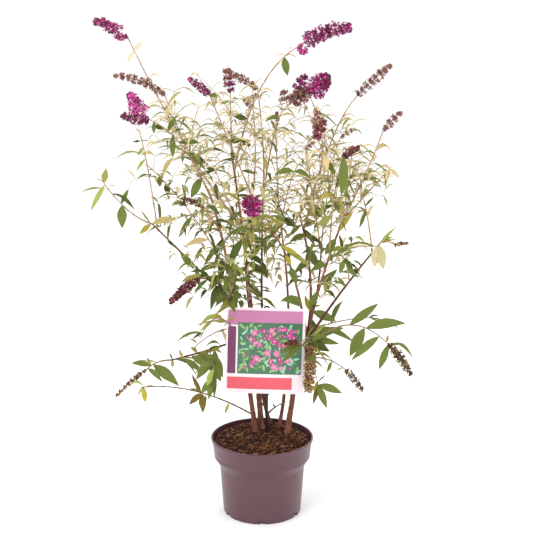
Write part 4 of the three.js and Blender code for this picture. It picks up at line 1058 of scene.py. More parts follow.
def mottle_group():
    """Two colours mixed by a noise that reads object coordinates, drawn out upwards by Stretch.

    The mask is the noise, stretched so that it runs from none to all within Spread of its middle.
    """
    tree, into, out = group("Mottle", [
        ("Light", "NodeSocketColor", (1, 1, 1, 1)), ("Dark", "NodeSocketColor", (0, 0, 0, 1)),
        ("Scale", "NodeSocketFloat", 60.0), ("Stretch", "NodeSocketFloat", 1.0),
        ("Spread", "NodeSocketFloat", 0.2)], [("Color", "NodeSocketColor"), ("Mask", "NodeSocketFloat")])
    given = into.outputs
    where = wired(tree, "TexCoord", {}).outputs["Object"]
    upwards = maths(tree, "DIVIDE", 1.0, given["Stretch"])
    stretch = wired(tree, "CombineXYZ", dict(X=1.0, Y=1.0, Z=upwards))
    scaled = wired(tree, "Mapping", dict(Vector=where, Scale=stretch.outputs[0]))
    noise = wired(tree, "TexNoise", dict(Vector=scaled.outputs[0], Scale=given["Scale"], Detail=5))
    mask = wired(tree, "MapRange", {
        "Value": noise.outputs["Fac"], "From Min": maths(tree, "SUBTRACT", 0.5, given["Spread"]),
        "From Max": maths(tree, "ADD", 0.5, given["Spread"])}).outputs["Result"]
    mix = wired(tree, "Mix", dict(Factor=mask, A=given["Dark"], B=given["Light"]), data_type="RGBA")
    tree.links.new(mix.outputs["Result"], out.inputs["Color"])
    tree.links.new(mask, out.inputs["Mask"])
    return tree


def rise_group():
    """One colour low down and another high up, between two heights in metres."""
    tree, into, out = group("Rise", [
        ("Low", "NodeSocketColor", (0, 0, 0, 1)), ("High", "NodeSocketColor", (1, 1, 1, 1)),
        ("From", "NodeSocketFloat", 0.2), ("To", "NodeSocketFloat", 0.6)], [("Color", "NodeSocketColor")])
    given = into.outputs
    split = wired(tree, "SeparateXYZ", {0: wired(tree, "TexCoord", {}).outputs["Object"]})
    ramp = wired(tree, "MapRange", {
        "Value": split.outputs["Z"], "From Min": given["From"], "From Max": given["To"]})
    share = ramp.outputs["Result"]
    mix = wired(tree, "Mix", dict(Factor=share, A=given["Low"], B=given["High"]), data_type="RGBA")
    tree.links.new(mix.outputs["Result"], out.inputs["Color"])
    return tree


def vein_group():
    """The height of a leaf's ribs over its own square: side ribs run forward from the middle to the margin.

    With u along the leaf and v the distance from its middle, it is the root of |sin(70 (u - 0.35 v))|,
    flattened to nothing at the midrib.
    """
    tree, _, out = group("Leaf ribs", [], [("Height", "NodeSocketFloat")])
    split = wired(tree, "SeparateXYZ", {0: wired(tree, "TexCoord", {}).outputs["UV"]}).outputs
    off = maths(tree, "ABSOLUTE", maths(tree, "SUBTRACT", split["Y"], 0.5))
    forward = maths(tree, "SUBTRACT", split["X"], maths(tree, "MULTIPLY", off, 0.35))
    wave = maths(tree, "SINE", maths(tree, "MULTIPLY", forward, 70.0))
    rib = maths(tree, "POWER", maths(tree, "ABSOLUTE", wave), 0.5)
    middle = maths(tree, "SMOOTH_MIN", maths(tree, "MULTIPLY", off, 12.0), 1.0, 0.2)
    tree.links.new(maths(tree, "MULTIPLY", rib, middle), out.inputs["Height"])
    return tree


GROUP_MAKERS = {"Mottle": mottle_group, "Rise": rise_group, "Leaf ribs": vein_group}
GROUPS = {}


def placed_group(material, name, **values):
    """A node of one of the shared groups, with this material's own values."""
    if name not in GROUPS:
        GROUPS[name] = GROUP_MAKERS[name]()
    node = material.node_tree.nodes.new("ShaderNodeGroup")
    node.node_tree = GROUPS[name]
    for label, value in values.items():
        node.inputs[label].default_value = (*value, 1) if isinstance(value, tuple) else value
    return node


def finish_of(name, colour, roughness, specular=0.5, coat=0.0):
    """A plain material: one Principled shader with its own values."""
    material = bpy.data.materials.new(name)
    material.use_nodes = True
    shader = material.node_tree.nodes["Principled BSDF"]
    shader.inputs["Base Color"].default_value = (*colour, 1)
    shader.inputs["Roughness"].default_value = roughness
    shader.inputs["Specular IOR Level"].default_value = specular
    shader.inputs["Coat Weight"].default_value = coat
    material.diffuse_color = (*colour, 1)
    return material, shader


def bumped(material, shader, height, strength, distance):
    """Raises the surface by a height that changes over it."""
    node = wired(material.node_tree, "Bump", dict(Strength=strength, Distance=distance, Height=height))
    material.node_tree.links.new(node.outputs[0], shader.inputs["Normal"])


def leaf_finish(name, colour, roughness, specular, ribs):
    """One side of a leaf: a plain colour with the ribs' relief."""
    material, shader = finish_of(name, colour, roughness, specular)
    bumped(material, shader, placed_group(material, "Leaf ribs").outputs["Height"], ribs, 0.0006)
    return material


def bark_finish(name, low, high, dark, reach, relief):
    """Bark: one colour below and another above, with darker streaks drawn out along the stem."""
    material, shader = finish_of(name, high, 0.72, 0.35)
    link = material.node_tree.links.new
    rise = placed_group(material, "Rise", Low=low, High=high, From=reach[0], To=reach[1])
    streak = placed_group(material, "Mottle", Dark=dark, Scale=260.0, Stretch=7.0, Spread=0.16)
    link(rise.outputs["Color"], streak.inputs["Light"])
    link(streak.outputs["Color"], shader.inputs["Base Color"])
    bumped(material, shader, streak.outputs["Mask"], relief, 0.0008)
    return material


def mottled_finish(name, light, dark, scale, spread, roughness, relief, distance=0.001):
    """Crumbs of two colours, the lighter ones higher."""
    material, shader = finish_of(name, light, roughness, 0.3)
    mix = placed_group(material, "Mottle", Light=light, Dark=dark, Scale=scale, Spread=spread)
    material.node_tree.links.new(mix.outputs["Color"], shader.inputs["Base Color"])
    bumped(material, shader, mix.outputs["Mask"], relief, distance)
    return material


# ---- what a user may change

def colour_property(label, about, *rgb):
    """A colour that a user may change, given as it is seen, 0 to 255."""
    return bpy.props.FloatVectorProperty(name=label, description=about, subtype="COLOR", size=3, min=0, max=1,
                                         default=srgb(*rgb))


class BushLeafSettings(bpy.types.PropertyGroup):
    """Leaf sizes and tones."""
    thickness: bpy.props.FloatProperty(name="Thickness", description="How thick a leaf is along its rib",
                                       default=0.0006, min=0.0001, unit="LENGTH")
    deep: colour_property("Deep green", "The darkest, oldest leaves", 78, 90, 38)
    green: colour_property("Green", "Full-grown leaves", 104, 117, 53)
    olive: colour_property("Olive", "Leaves turning dull", 146, 143, 72)
    sage: colour_property("Sage", "Young felted leaves", 178, 165, 106)
    tan: colour_property("Tan", "Leaves that dried on the upper shoots", 212, 191, 140)
    pale: colour_property("Pale", "The driest leaves, nearly white with felt", 222, 206, 174)
    lime: colour_property("Lime", "Young leaves lower down", 158, 166, 86)
    yellow: colour_property("Yellow", "Leaves about to fall", 172, 160, 58)
    rust: colour_property("Rust", "Withering leaves near the ground", 110, 95, 37)
    felt: colour_property("Felt", "The pale underside that the tones share", 214, 202, 164)


class BushBlossomSettings(bpy.types.PropertyGroup):
    """Tones of flowers, buds and seed pods."""
    bright: colour_property("Bright", "Open flowers in light", 212, 84, 160)
    rich: colour_property("Rich", "Open flowers, the most saturated", 158, 18, 104)
    deep: colour_property("Deep", "Open flowers, darker", 146, 44, 106)
    dusky: colour_property("Dusky", "Fading flowers", 104, 34, 72)
    wine: colour_property("Wine", "Buds and withered flowers", 98, 40, 44)
    brown: colour_property("Brown", "Dry seed pods", 154, 108, 92)
    husk: colour_property("Husk", "Empty seed pods", 92, 60, 48)
    pod_green: colour_property("Green pods", "Unripe seed pods", 168, 142, 80)


class BushWoodSettings(bpy.types.PropertyGroup):
    """Bark."""
    relief: bpy.props.FloatProperty(name="Relief", description="Depth of the ridges in the bark",
                                    default=0.0005, min=0, unit="LENGTH")
    low: colour_property("Low bark", "Peeling bark near the ground", 140, 88, 64)
    middle: colour_property("Middle bark", "Bark of the canes and boughs above the label", 190, 121, 86)
    high: colour_property("High bark", "Young bark", 206, 174, 132)
    streak: colour_property("Streaks", "Dark streaks along the stems", 84, 50, 38)
    dark: colour_property("Dark bark", "The maroon bark of the younger boughs", 98, 52, 44)


class BushPotSettings(bpy.types.PropertyGroup):
    """Pot, compost and label."""
    plastic: colour_property("Plastic", "The pot", 84, 50, 59)
    compost: colour_property("Compost", "Coir and bark", 98, 54, 36)
    card: colour_property("Card", "The label's ground colour", 240, 226, 231)


def own(obj, slot, *nodes):
    """The finished piece rides on the body and stands for its solids; its slot is not used."""
    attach(obj, "root")
    if nodes:
        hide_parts(*nodes)
    return obj


# ---- operators

def cane_radius(curve, girth, flare, index, depth):
    """The radius of a cane or bough at a share of its length and an angle round it.

    It is half of the girth, which tapers as the share to the power 0.55, plus the foot's flare, plus bark
    that roughens towards the foot: ridges along the stem and peeling flakes, and a knot at each pair of old
    leaves.
    """
    thick, thin = girth

    def radius_at(share, angle):
        far = share * curve.length
        plain = lerp(thick, 0.85 * thin, share**0.55) / 2 + flare * np.exp(-far / 14)
        ridge = np.sin(3 * angle + far / 11 + index) + 0.7 * np.sin(7 * angle - far / 19 + 2 * index)
        flakes = np.tanh(3 * np.sin(2 * angle + far / 7.3 + index) * np.sin(far / 5.1 + 3 * angle))
        knots = np.exp(-(((far + 17 * index) % 52 - 26) / 3.2) ** 2) * (0.5 + 0.5 * np.cos(2 * angle))
        old = np.clip(1.2 - share, 0.3, 1)
        return plain + depth * old * (ridge * 0.6 + flakes * 0.7) * plain / 5 + 0.8 * knots

    return radius_at


class BUSH_OT_canes(bpy.types.Operator):
    """Bark over the canes and boughs, with ridges, knots and peeling plates"""
    bl_idname = "bush.make_canes"
    bl_label = "Canes and boughs"

    def execute(self, context):
        wood = context.scene.bush_wood
        sides, ring_pitch, cane_flare, bough_flare = 14, 4, 2.6, 1.0
        heaps = {False: Heap(), True: Heap()}
        for index, spec in enumerate(CANES + BOUGHS):
            curve = PLANT.limbs[spec["name"]]
            flare = cane_flare if spec in CANES else bough_flare
            rings = max(8, round(curve.length / ring_pitch))
            radius_at = cane_radius(curve, spec["girth"], flare, index, wood.relief / MM)
            heap = heaps[spec["name"] in DARK_WOOD]
            heap.add(tube_shape(rings, sides), curve_tube(curve, radius_at, rings, sides))
        streak = tuple(wood.streak)
        bark = bark_finish("Cane bark", tuple(wood.low), tuple(wood.middle), streak, (0.36, 0.7), 0.5)
        dark = bark_finish("Dark bark", tuple(wood.dark), tuple(wood.high), streak, (0.5, 0.95), 0.3)
        for name, look, is_dark in (("canes", bark, False), ("dark_boughs", dark, True)):
            own(heaps[is_dark].build(name, [look]), "bark",
                *(spec["name"] for spec in CANES + BOUGHS if (spec["name"] in DARK_WOOD) == is_dark))
        return {"FINISHED"}


def shoot_radius(curve, first, last, knots):
    """A shoot's radius: it tapers as the share to the power 0.8, and swells at each pair of leaves."""
    def radius_at(share, angle):
        far = share * curve.length
        return lerp(first, last, share**0.8) + knots * np.exp(-((far % 38 - 19) / 2.4) ** 2) + 0 * angle

    return radius_at


class BUSH_OT_shoots(bpy.types.Operator):
    """The stems of the leafy shoots, their side twigs and the axes of the flower spikes"""
    bl_idname = "bush.make_shoots"
    bl_label = "Shoots and twigs"

    def execute(self, context):
        wood = context.scene.bush_wood
        heap = Heap()

        def add(curve, first, last, ring_pitch, sides, knots=0.0):
            rings = max(4, round(curve.length / ring_pitch))
            radius_at = shoot_radius(curve, first, last, knots)
            heap.add(tube_shape(rings, sides), curve_tube(curve, radius_at, rings, sides))

        for spec in MASSES:
            add(PLANT.shoots[spec["name"]], spec["girth"] / 2, TIP, 5, 7, 0.35)
        for twig, first, last in PLANT.twigs:
            add(twig, first, last, 12, 5)
        for spike in PLANT.spikes:
            add(spike["curve"], *AXIS, 10, 5)
        streak = srgb(122, 92, 66)
        bark = bark_finish("Shoot bark", tuple(wood.dark), tuple(wood.high), streak, (0.3, 0.6), 0.25)
        own(heap.build("shoots", [bark]), "bark", *(spec["name"] for spec in MASSES))
        return {"FINISHED"}


class BUSH_OT_leaves(bpy.types.Operator):
    """Every leaf, in one piece for each tone"""
    bl_idname = "bush.make_leaves"
    bl_label = "Leaves"

    def execute(self, context):
        settings = context.scene.bush_leaves
        full, small = leaf_shape(STATIONS), leaf_shape(SMALL_STATIONS)
        felt = np.array(settings.felt)
        for number, tone in enumerate(TONE_NAMES):
            rng = np.random.default_rng(100 + number)
            heap = Heap()
            here = [leaf for leaf in PLANT.leaves if leaf["tone"] == tone]
            for shape, stations, wanted in ((full, STATIONS, True), (small, SMALL_STATIONS, False)):
                leaves = [leaf for leaf in here if (leaf["length"] > LONG_LEAF) == wanted]
                if leaves:
                    points = leaf_points(leaves, stations, rng, settings.thickness / MM)
                    heap.add(shape, points[clear_of_card(points)])
            colour = np.array(getattr(settings, tone))
            top = leaf_finish(f"Leaf {tone}", tuple(colour), 0.55, 0.2, 0.5)
            under = leaf_finish(f"Leaf underside {tone}", tuple(lerp(felt, colour, 0.4)), 0.85, 0.2, 0.3)
            own(heap.build(f"foliage_{tone}", [top, under], crease=60, mapped=True), "leaf")
        return {"FINISHED"}


class BUSH_OT_blossom(bpy.types.Operator):
    """Flowers, buds and seed pods of every spike, in one piece for each tone"""
    bl_idname = "bush.make_blossom"
    bl_label = "Blossom"

    def execute(self, context):
        tones = context.scene.bush_blossom
        flowers, pods, stalks = {}, {}, []
        for spike in PLANT.spikes:
            build_spike(spike, flowers, pods, stalks)
        for tone, heap in sorted(flowers.items()):
            look, _ = finish_of(f"Flower {tone}", tuple(getattr(tones, tone)), 0.6, 0.3)
            own(heap.build(f"flowers_{tone}", [look], smooth=False), "blossom")
        for tone, heap in sorted(pods.items()):
            colour = tones.pod_green if tone == "green" else getattr(tones, tone)
            look, _ = finish_of(f"Pod {tone}", tuple(colour), 0.8, 0.25)
            own(heap.build(f"pods_{tone}", [look], smooth=False), "spent_blossom")
        heap = Heap()
        starts, ends = (np.concatenate(side) for side in zip(*stalks))
        heap.add(tube_shape(2, 3), straight_tubes(starts, ends, 0.7, 0.5))
        look, _ = finish_of("Spike stalks", srgb(112, 70, 66), 0.8, 0.25)
        own(heap.build("spike_stalks", [look], smooth=False), "spent_blossom")
        return {"FINISHED"}


def lathe_shape(rows, columns):
    """A closed turned form: a pole, rows of corners, and a pole."""
    last = 1 + rows * columns
    start = [(0, 1 + (c + 1) % columns, 1 + c) for c in range(columns)]
    end = [(last, last - columns + c, last - columns + (c + 1) % columns) for c in range(columns)]
    return Shape(last + 1, grid(rows, columns, first=1).tolist() + start + end)


def lathe_points(radius, height, angles):
    """x = r cos a, y = r sin a over (rows, columns), with poles level with the end rows."""
    x, y = radius * np.cos(angles), radius * np.sin(angles)
    rows = np.stack([x, y, height], -1).reshape(-1, 3)
    return np.concatenate([[(0, 0, height[0].mean())], rows, [(0, 0, height[-1].mean())]])


class BUSH_OT_pot(bpy.types.Operator):
    """The round pot: foot with drain notches, body, shoulder, deep rim band and rolled lip"""
    bl_idname = "bush.make_pot"
    bl_label = "Pot"

    def execute(self, context):
        base, body, band, rim, top = POT["base"], POT["body"], POT["band"], POT["rim"], POT["height"]
        length, depth, tall = POT["drain"]
        foot = [(40, 0), (base - depth - 1, 0), (base - depth, 0), (base - depth + 0.2, 0), (base - 3, 0),
                (base - 0.9, 0.8), (base, 3), (base + 0.3, tall + 0.4)]
        wall = [(lerp(base, body, z / POT["body_top"]), z) for z in (12, 30, 55, 80, 104, 110)]
        shoulder = [(body + 0.2, 112), (body + 1.2, 113.4), (band - 3.2, 129), (band - 1.2, 130.6),
                    (band, 132), (band + 0.2, 133.4), (band + 0.3, 135.5), (band - 0.1, 136.6)]
        lip = [(lerp(band, rim - 2.4, 0.25), 145), (lerp(band, rim - 2.4, 0.6), 156), (rim - 2.6, 168.4),
               (rim - 1.9, 170.2), (rim - 0.6, 171.4), (rim, 173.2), (rim, 175.6), (rim - 0.5, 176.9),
               (rim - 1.6, 177.5), (rim - 3.2, top), (rim - 4, 176.7)]
        inside = [(rim - 4.6, 170), (band - 2.6, 136), (band - 3.4, 133), (body - 1.6, 114),
                  (body - 2.6, 111), (base - 2.0, 9), (base - 3.2, 4.6), (base - 6, 3), (30, 3)]
        profile = np.array(foot + wall + shoulder + lip + inside)
        half = length / 2 / base
        centres = (np.arange(POT["drains"]) + 0.5) * 2 * math.pi / POT["drains"]
        full = 2 * math.pi
        edges = np.concatenate([centres + side * (half + past) for side in (-1, 1) for past in (0, 0.004)])
        angles = np.unique(np.round([*np.linspace(0, full, 144, endpoint=False), *(edges % full)], 5))
        notched = (np.abs((angles[:, None] - centres + math.pi) % full - math.pi) <= half + 1e-4).any(1)
        radius = np.repeat(profile[:, :1], len(angles), 1)
        height = np.repeat(profile[:, 1:], len(angles), 1)
        lifted = (np.arange(len(profile)) >= 3) & (np.arange(len(profile)) <= 6)
        height = np.where(lifted[:, None] & notched[None, :], float(tall), height)
        heap = Heap()
        heap.add(lathe_shape(len(profile), len(angles)), lathe_points(radius, height, angles[None, :]))
        pot = context.scene.bush_pot
        look, shader = finish_of("Pot plastic", tuple(pot.plastic), 0.36, 0.6)
        grain = placed_group(look, "Mottle", Scale=900.0, Spread=0.3)
        bumped(look, shader, grain.outputs["Mask"], 0.12, 0.0004)
        own(heap.build("pot_shell", [look], crease=35), "plastic", "pot")
        return {"FINISHED"}


# How far inside the rim's outer edge the compost meets the pot's wall.
WALL_AT_SOIL = 7.5

# The chips on the compost: how many, their colour, and their size as a share of the largest, whose three
# sides have these ranges.
CHIPS = dict(
    chips_dark=(560, (48, 22, 13), 0.8),
    chips_brown=(760, (112, 64, 38), 0.62),
    chips_pale=(300, (172, 130, 78), 0.5),
)
CHIP_SIDES = ((5, 17), (3, 8), (1.4, 4))


def soil_height(radius):
    """The compost's level: flat round the canes and falling a little to the wall."""
    edge = POT["rim"] - WALL_AT_SOIL
    return np.interp(radius, [0, SOIL["crown"], (SOIL["crown"] + edge) / 2, edge],
                     [SOIL["ground"], SOIL["ground"], SOIL["ground"] - 3, SOIL["edge"]])


class BUSH_OT_compost(bpy.types.Operator):
    """The compost: its lumpy bed, and the chips of bark and coir on it"""
    bl_idname = "bush.make_compost"
    bl_label = "Compost"

    def execute(self, context):
        rng = np.random.default_rng(7)
        columns = 120
        angles = np.arange(columns) * 2 * math.pi / columns
        low = np.array([(40, 3.3), (75, 3.3), (77, 8.3), (84, 14.5), (91.5, 112), (104, 133)])
        radii = np.concatenate([low[:, 0], np.linspace(107.4, 5, 40)])
        radius = np.repeat(radii[:, None], columns, 1)
        top = np.arange(len(radii)) >= len(low)
        height = np.repeat(np.where(top, soil_height(radii), 0)[:, None], columns, 1)
        height[: len(low)] = low[:, 1:]
        lumps = 1.1 * np.sin(radius / 5.1 + 3 * np.sin(5 * angles)) * np.sin(9 * angles + radius / 13)
        lumps = lumps + rng.normal(0, 0.7, radius.shape)
        height = height + np.where(top[:, None], lumps * np.clip(radius / 40, 0, 1) - 1.2, 0)
        heap = Heap()
        heap.add(lathe_shape(len(radii), columns), lathe_points(radius, height, angles[None, :]))
        ground = tuple(context.scene.bush_pot.compost)
        bed = mottled_finish("Compost bed", ground, srgb(32, 14, 8), 170.0, 0.12, 0.95, 0.8, 0.002)
        own(heap.build("compost_bed", [bed]), "compost", "compost")
        box = Shape(8, [(0, 3, 2, 1), (4, 5, 6, 7), (0, 1, 5, 4), (1, 2, 6, 5), (2, 3, 7, 6), (3, 0, 4, 7)])
        corners = np.array([(x, y, z) for z in (-0.5, 0.5) for x, y in ((-0.5, -0.5), (0.5, -0.5), (0.5, 0.5),
                                                                        (-0.5, 0.5))])
        for name, (count, tone, size) in CHIPS.items():
            colour = srgb(*tone)
            spread = np.sqrt(rng.random(count)) * (109 - 9 * size)
            turn = rng.uniform(0, 2 * math.pi, count)
            feet = np.stack([spread * np.cos(turn), spread * np.sin(turn), soil_height(spread) + 0.2], -1)
            ways = unit(UP + rng.normal(0, 0.35, (count, 3)))
            scale = np.stack([rng.uniform(*side, count) for side in CHIP_SIDES], -1)
            local = corners[None] + rng.normal(0, 0.13, (count, 8, 3))
            heap = Heap()
            heap.add(box, placed(local, feet, ways, scale * size, rng.uniform(0, 6.3, count)))
            look = mottled_finish(name.replace("_", " ").capitalize(), colour,
                                  tuple(0.45 * c for c in colour), 240.0, 0.25, 0.9, 0.4)
            own(heap.build(name, [look], smooth=False), "compost")
        return {"FINISHED"}


def on_card(x, z, lift):
    """A point of the card's face: `lift` in front of it, x to the right and z up from its centre."""
    lean = math.radians(-LABEL["lean"])
    bow = LABEL["bow"] * (0.5 - (x / (LABEL["width"] / 2)) ** 2)
    cx, cy, cz = LABEL["centre"]
    across = x * math.cos(lean) + z * math.sin(lean)
    forward = LABEL["thickness"] + bow + lift + 0 * across
    return np.stack([cx + across, cy - forward, cz - x * math.sin(lean) + z * math.cos(lean)], -1)


def sheet_shape(rows, columns):
    """A closed sheet: a front grid, a back grid and a strip all round."""
    n = rows * columns
    front = grid(rows, columns, round_columns=False)
    ring = [*range(columns), *[r * columns + columns - 1 for r in range(1, rows)],
            *[(rows - 1) * columns + c for c in range(columns - 2, -1, -1)],
            *[r * columns for r in range(rows - 2, 0, -1)]]
    edge = [(after, here, here + n, after + n) for here, after in zip(ring, ring[1:] + ring[:1])]
    return Shape(2 * n, front.tolist() + (front + n)[:, ::-1].tolist() + edge)


def panel(heap, left, right, low, high, lift, depth, corner=0.0):
    """A rectangle of card or print between two edges and two levels, with rounded corners."""
    columns, rows = 15, 21
    v = np.linspace(-1, 1, rows)
    if corner:
        v = np.sign(v) * (1 - (1 - np.abs(v)) ** 1.8)
    z = lerp(low, high, (v + 1) / 2)
    past = np.clip(np.abs(z - (low + high) / 2) - ((high - low) / 2 - corner), 0, corner)
    inset = corner - np.sqrt(np.maximum(corner**2 - past**2, 0)) if corner else 0 * past
    u = (np.linspace(-1, 1, columns) + 1) / 2
    x = lerp(left + inset[:, None], right - inset[:, None], u[None, :])
    zz = np.broadcast_to(z[:, None], x.shape)
    heap.add(sheet_shape(rows, columns), np.concatenate([
        on_card(x, zz, lift).reshape(-1, 3), on_card(x, zz, lift - depth).reshape(-1, 3)]))


def disc(heap, x, z, outline, lift):
    """A low closed lens on the card with any outline: (n, 2) offsets from its centre."""
    n = len(outline)
    faces = [(0, 2 + i, 2 + (i + 1) % n) for i in range(n)] + [(1, 2 + (i + 1) % n, 2 + i) for i in range(n)]
    poles = [on_card(np.array(x), np.array(z), lift + rise) for rise in (0.12, -0.4)]
    rim = on_card(x + outline[:, 0], z + outline[:, 1], lift)
    heap.add(Shape(n + 2, faces), np.concatenate([poles, rim]))


def petals(radius, count, turn, waist=0.45, points=40):
    """The outline of a simple flower: a circle whose radius rises and falls once a petal."""
    a = np.linspace(0, 2 * math.pi, points, endpoint=False)
    r = radius * (waist + (1 - waist) * np.abs(np.cos(count * (a - turn) / 2)) ** 0.7)
    return np.stack([r * np.cos(a), r * np.sin(a)], -1)


def blade(length, width, turn, points=16):
    """The outline of a plain leaf, pointed at both ends."""
    a = np.linspace(0, 2 * math.pi, points, endpoint=False)
    x, y = length / 2 * np.cos(a), width / 2 * np.sin(a) * np.abs(np.sin(a)) ** 0.4
    return np.stack([x * math.cos(turn) - y * math.sin(turn), x * math.sin(turn) + y * math.cos(turn)], -1)


# The panels printed on the card: the left edge and width, foot and height, how far they stand before the
# card, their depth and the radius of their corners. The first of each two is from the card's own left edge
# or foot.
PANELS = dict(
    mauve=(4, 165, 160, 34, 0.15, 0.4, 3),
    leafgreen=(26, 143, 46, 120, 0.25, 0.5, 2),
    plum=(4, 18, 46, 110, 0.2, 0.45, 2),
    coral=(4, 145, 10, 28, 0.2, 0.45, 1),
)

# The leaves and flowers printed in the green panel: how many, their sizes, how far in they lie from the
# card's left, right, lower and upper edge (the flowers by `inset` more), how far leaves, flowers and their
# hearts stand before the card, and the `step` from one flower to the next.
ARTWORK = dict(leaves=170, leaf_length=(8, 18), leaf_width=(3, 6), flowers=58, flower=(4, 9), inset=6,
               margins=(30, -12, 52, -40), lifts=(0.3, 0.42, 0.62), step=0.008)
LEAF_PRINTS = ("lime", "fern", "mint")
FLOWER_PRINTS = ("magenta", "rose", "orchid")
PRINTS = dict(
    mauve=(190, 116, 160), leafgreen=(58, 108, 78), plum=(108, 34, 84), coral=(224, 80, 96),
    lime=(140, 182, 104), fern=(78, 134, 86), mint=(150, 206, 170), magenta=(190, 56, 142),
    rose=(222, 112, 176), orchid=(128, 62, 122), gold=(236, 196, 120),
)


def stick_and_ring():
    """The stick, a round rod from its foot to its top, and a ring at its top that the card hangs by.

    The ring's points lie at far = hook + thin cos b from its centre: (far cos a, thin sin b, far sin a).
    """
    foot, top = np.array(LABEL["foot"], float), np.array(LABEL["top"], float)
    heap = Heap()
    rod = Bend(foot + UP * 0.3, (foot + top) / 2, top)
    rings, sides = 12, 10
    heap.add(tube_shape(rings, sides),
             curve_tube(rod, lambda share, angle: LABEL["stick"] / 2 + 0 * share * angle, rings, sides))
    steps, thin = 28, LABEL["stick"] / 3
    turn, around = np.meshgrid(np.linspace(0, 2 * math.pi, steps, endpoint=False),
                               np.linspace(0, 2 * math.pi, sides, endpoint=False), indexing="ij")
    far = LABEL["hook"] + thin * np.cos(around)
    ring = np.stack([far * np.cos(turn), thin * np.sin(around), far * np.sin(turn)], -1)
    heap.add(Shape(steps * sides, grid(steps, sides, round_rows=True).tolist()),
             ring.reshape(-1, 3) + top + UP * LABEL["hook"])
    return heap


class BUSH_OT_label(bpy.types.Operator):
    """The plant label: a glossy card printed with plain flowers, hung on a black stick"""
    bl_idname = "bush.make_label"
    bl_label = "Label"

    def execute(self, context):
        rng = np.random.default_rng(3)
        wide, tall = LABEL["width"] / 2, LABEL["height"] / 2
        heap = Heap()
        panel(heap, -wide, wide, -tall, tall, 0, LABEL["thickness"], LABEL["corner"])
        look, _ = finish_of("Card", tuple(context.scene.bush_pot.card), 0.32, 0.5, coat=0.3)
        own(heap.build("card", [look], crease=40), "card", "label_card")
        prints = {}

        def print_in(tone):
            return prints.setdefault(tone, Heap())

        for tone, (left, width, foot, height, lift, depth, corner) in PANELS.items():
            x, z = left - wide, foot - tall
            panel(print_in(tone), x, x + width, z, z + height, lift, depth, corner)
        left, right, low, high = np.array([-wide, wide, -tall, tall]) + ARTWORK["margins"]
        leaf_lift, flower_lift, heart_lift = ARTWORK["lifts"]
        for _ in range(ARTWORK["leaves"]):
            x, z = rng.uniform(left, right), rng.uniform(low, high)
            tone = LEAF_PRINTS[rng.integers(0, 3)]
            length, width = rng.uniform(*ARTWORK["leaf_length"]), rng.uniform(*ARTWORK["leaf_width"])
            disc(print_in(tone), x, z, blade(length, width, rng.uniform(0, 3.1)), leaf_lift)
        inset = ARTWORK["inset"]
        for i in range(ARTWORK["flowers"]):
            x, z = rng.uniform(left + inset, right - inset), rng.uniform(low + inset, high - inset)
            size, step = rng.uniform(*ARTWORK["flower"]), ARTWORK["step"] * i
            outline = petals(size, 5, rng.uniform(0, 6))
            disc(print_in(FLOWER_PRINTS[i % 3]), x, z, outline, flower_lift + step)
            disc(print_in("gold"), x, z, petals(size * 0.22, 5, 0, 0.9, 12), heart_lift + step)
        for tone, heap in prints.items():
            look, _ = finish_of(f"Print {tone}", srgb(*PRINTS[tone]), 0.32, 0.5, coat=0.3)
            own(heap.build(f"print_{tone}", [look], smooth=False), "card")
        look, _ = finish_of("Stick", srgb(24, 22, 20), 0.45, 0.5)
        own(stick_and_ring().build("hanger", [look], crease=50), "stick", "label_stick")
        return {"FINISHED"}


def sky_light(tree, level, sides, top):
    """The world's strength by direction: level + sides x^2 + top z, z counting only above the horizon."""
    way = wired(tree, "SeparateXYZ", {0: wired(tree, "TexCoord", {}).outputs["Generated"]}).outputs
    low = maths(tree, "MULTIPLY_ADD", maths(tree, "MULTIPLY", way["X"], way["X"]), sides, level)
    above = maths(tree, "MAXIMUM", way["Z"], 0.0)
    tree.nodes["Background"].inputs["Color"].default_value = (1, 1, 1, 1)
    tree.links.new(maths(tree, "MULTIPLY_ADD", above, top, low), tree.nodes["Background"].inputs["Strength"])


# The sky's strengths, and the lamps: where each stands, how wide it is and its power. All aim at the
# plant's middle.
SKY = dict(level=0.42, sides=0.95, top=0.68)
LAMPS = dict(
    key=((-1.8, -2.4, 2.6), 1.8, 55),
    fill=((2.4, -2.0, 1.6), 2.2, 18),
    back=((0.4, 2.6, 2.6), 2.0, 30),
)
AIM = (0, 0, 0.5)

# The camera before the plant, how far it looks down in degrees, and its focal length and width in pixels.
CAMERA = dict(place=(0.0099, -3.2, 1.456), down=15.413, focal=1518, width=533, sensor=36, reach=100)
FLOOR = 40


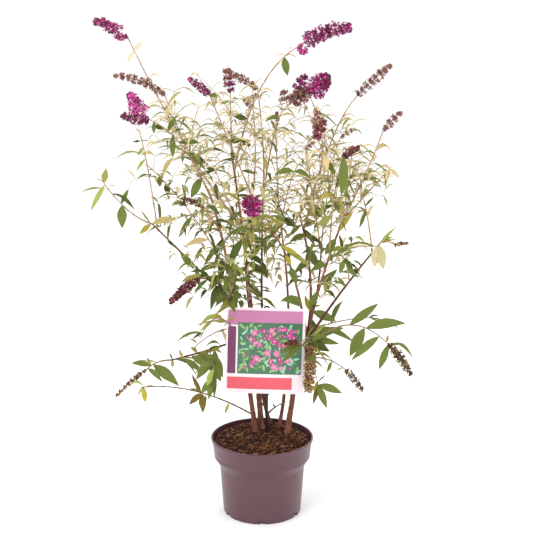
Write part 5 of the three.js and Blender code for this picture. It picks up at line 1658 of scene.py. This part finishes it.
class BUSH_OT_stage(bpy.types.Operator):
    """The pale floor, soft studio light and the camera"""
    bl_idname = "bush.make_stage"
    bl_label = "Stage"

    def execute(self, context):
        scene = context.scene
        mesh = bpy.data.meshes.new("floor")
        corners = [(x * FLOOR, y * FLOOR, 0) for x, y in ((-1, -1), (1, -1), (1, 1), (-1, 1))]
        mesh.from_pydata(corners, [], [(0, 1, 2, 3)])
        floor = bpy.data.objects.new("floor", mesh)
        scene.collection.objects.link(floor)
        look, _ = finish_of("Floor", (0.95, 0.95, 0.95), 0.9, 0.0)
        mesh.materials.append(look)
        world = bpy.data.worlds.new("Studio")
        world.use_nodes = True
        sky_light(world.node_tree, **SKY)
        scene.world = world
        for name, (place, size, power) in LAMPS.items():
            light = bpy.data.lights.new(name, "AREA")
            light.energy, light.size = power, size
            lamp = bpy.data.objects.new(name, light)
            lamp.location = place
            aim = np.array(AIM) - np.array(place)
            tilt = math.atan2(math.hypot(aim[0], aim[1]), -aim[2])
            lamp.rotation_euler = (tilt, 0, math.atan2(-aim[0], aim[1]))
            scene.collection.objects.link(lamp)
        camera = bpy.data.cameras.new("camera")
        camera.sensor_width = CAMERA["sensor"]
        camera.lens = CAMERA["focal"] / CAMERA["width"] * CAMERA["sensor"]
        camera.clip_end = CAMERA["reach"]
        eye = bpy.data.objects.new("camera", camera)
        eye.location = CAMERA["place"]
        eye.rotation_euler = (math.radians(90 - CAMERA["down"]), 0, 0)
        scene.collection.objects.link(eye)
        scene.camera = eye
        scene.view_settings.view_transform = "Standard"
        scene.view_settings.look = "None"
        return {"FINISHED"}


OPERATORS = (BUSH_OT_canes, BUSH_OT_shoots, BUSH_OT_leaves, BUSH_OT_blossom, BUSH_OT_pot, BUSH_OT_compost,
             BUSH_OT_label, BUSH_OT_stage)
SETTINGS = dict(bush_leaves=BushLeafSettings, bush_blossom=BushBlossomSettings, bush_wood=BushWoodSettings,
                bush_pot=BushPotSettings)


class BUSH_PT_sidebar(bpy.types.Panel):
    """Settings and makers of the bush"""
    bl_label = "Butterfly bush"
    bl_idname = "BUSH_PT_sidebar"
    bl_space_type = "VIEW_3D"
    bl_region_type = "UI"
    bl_category = "Bush"

    def draw(self, context):
        for name, kind in SETTINGS.items():
            box = self.layout.box()
            box.label(text=kind.__doc__)
            for prop in kind.__annotations__:
                box.prop(getattr(context.scene, name), prop)
        for operator in OPERATORS:
            self.layout.operator(operator.bl_idname)


def register():
    for kind in (*SETTINGS.values(), *OPERATORS, BUSH_PT_sidebar):
        bpy.utils.register_class(kind)
    for name, kind in SETTINGS.items():
        setattr(bpy.types.Scene, name, bpy.props.PointerProperty(type=kind))


def unregister():
    for name in SETTINGS:
        delattr(bpy.types.Scene, name)
    for kind in (BUSH_PT_sidebar, *reversed(OPERATORS), *reversed(list(SETTINGS.values()))):
        bpy.utils.unregister_class(kind)


def main():
    register()
    for operator in OPERATORS:
        family, name = operator.bl_idname.split(".")
        getattr(getattr(bpy.ops, family), name)()


if __name__ == "__main__":
    main()
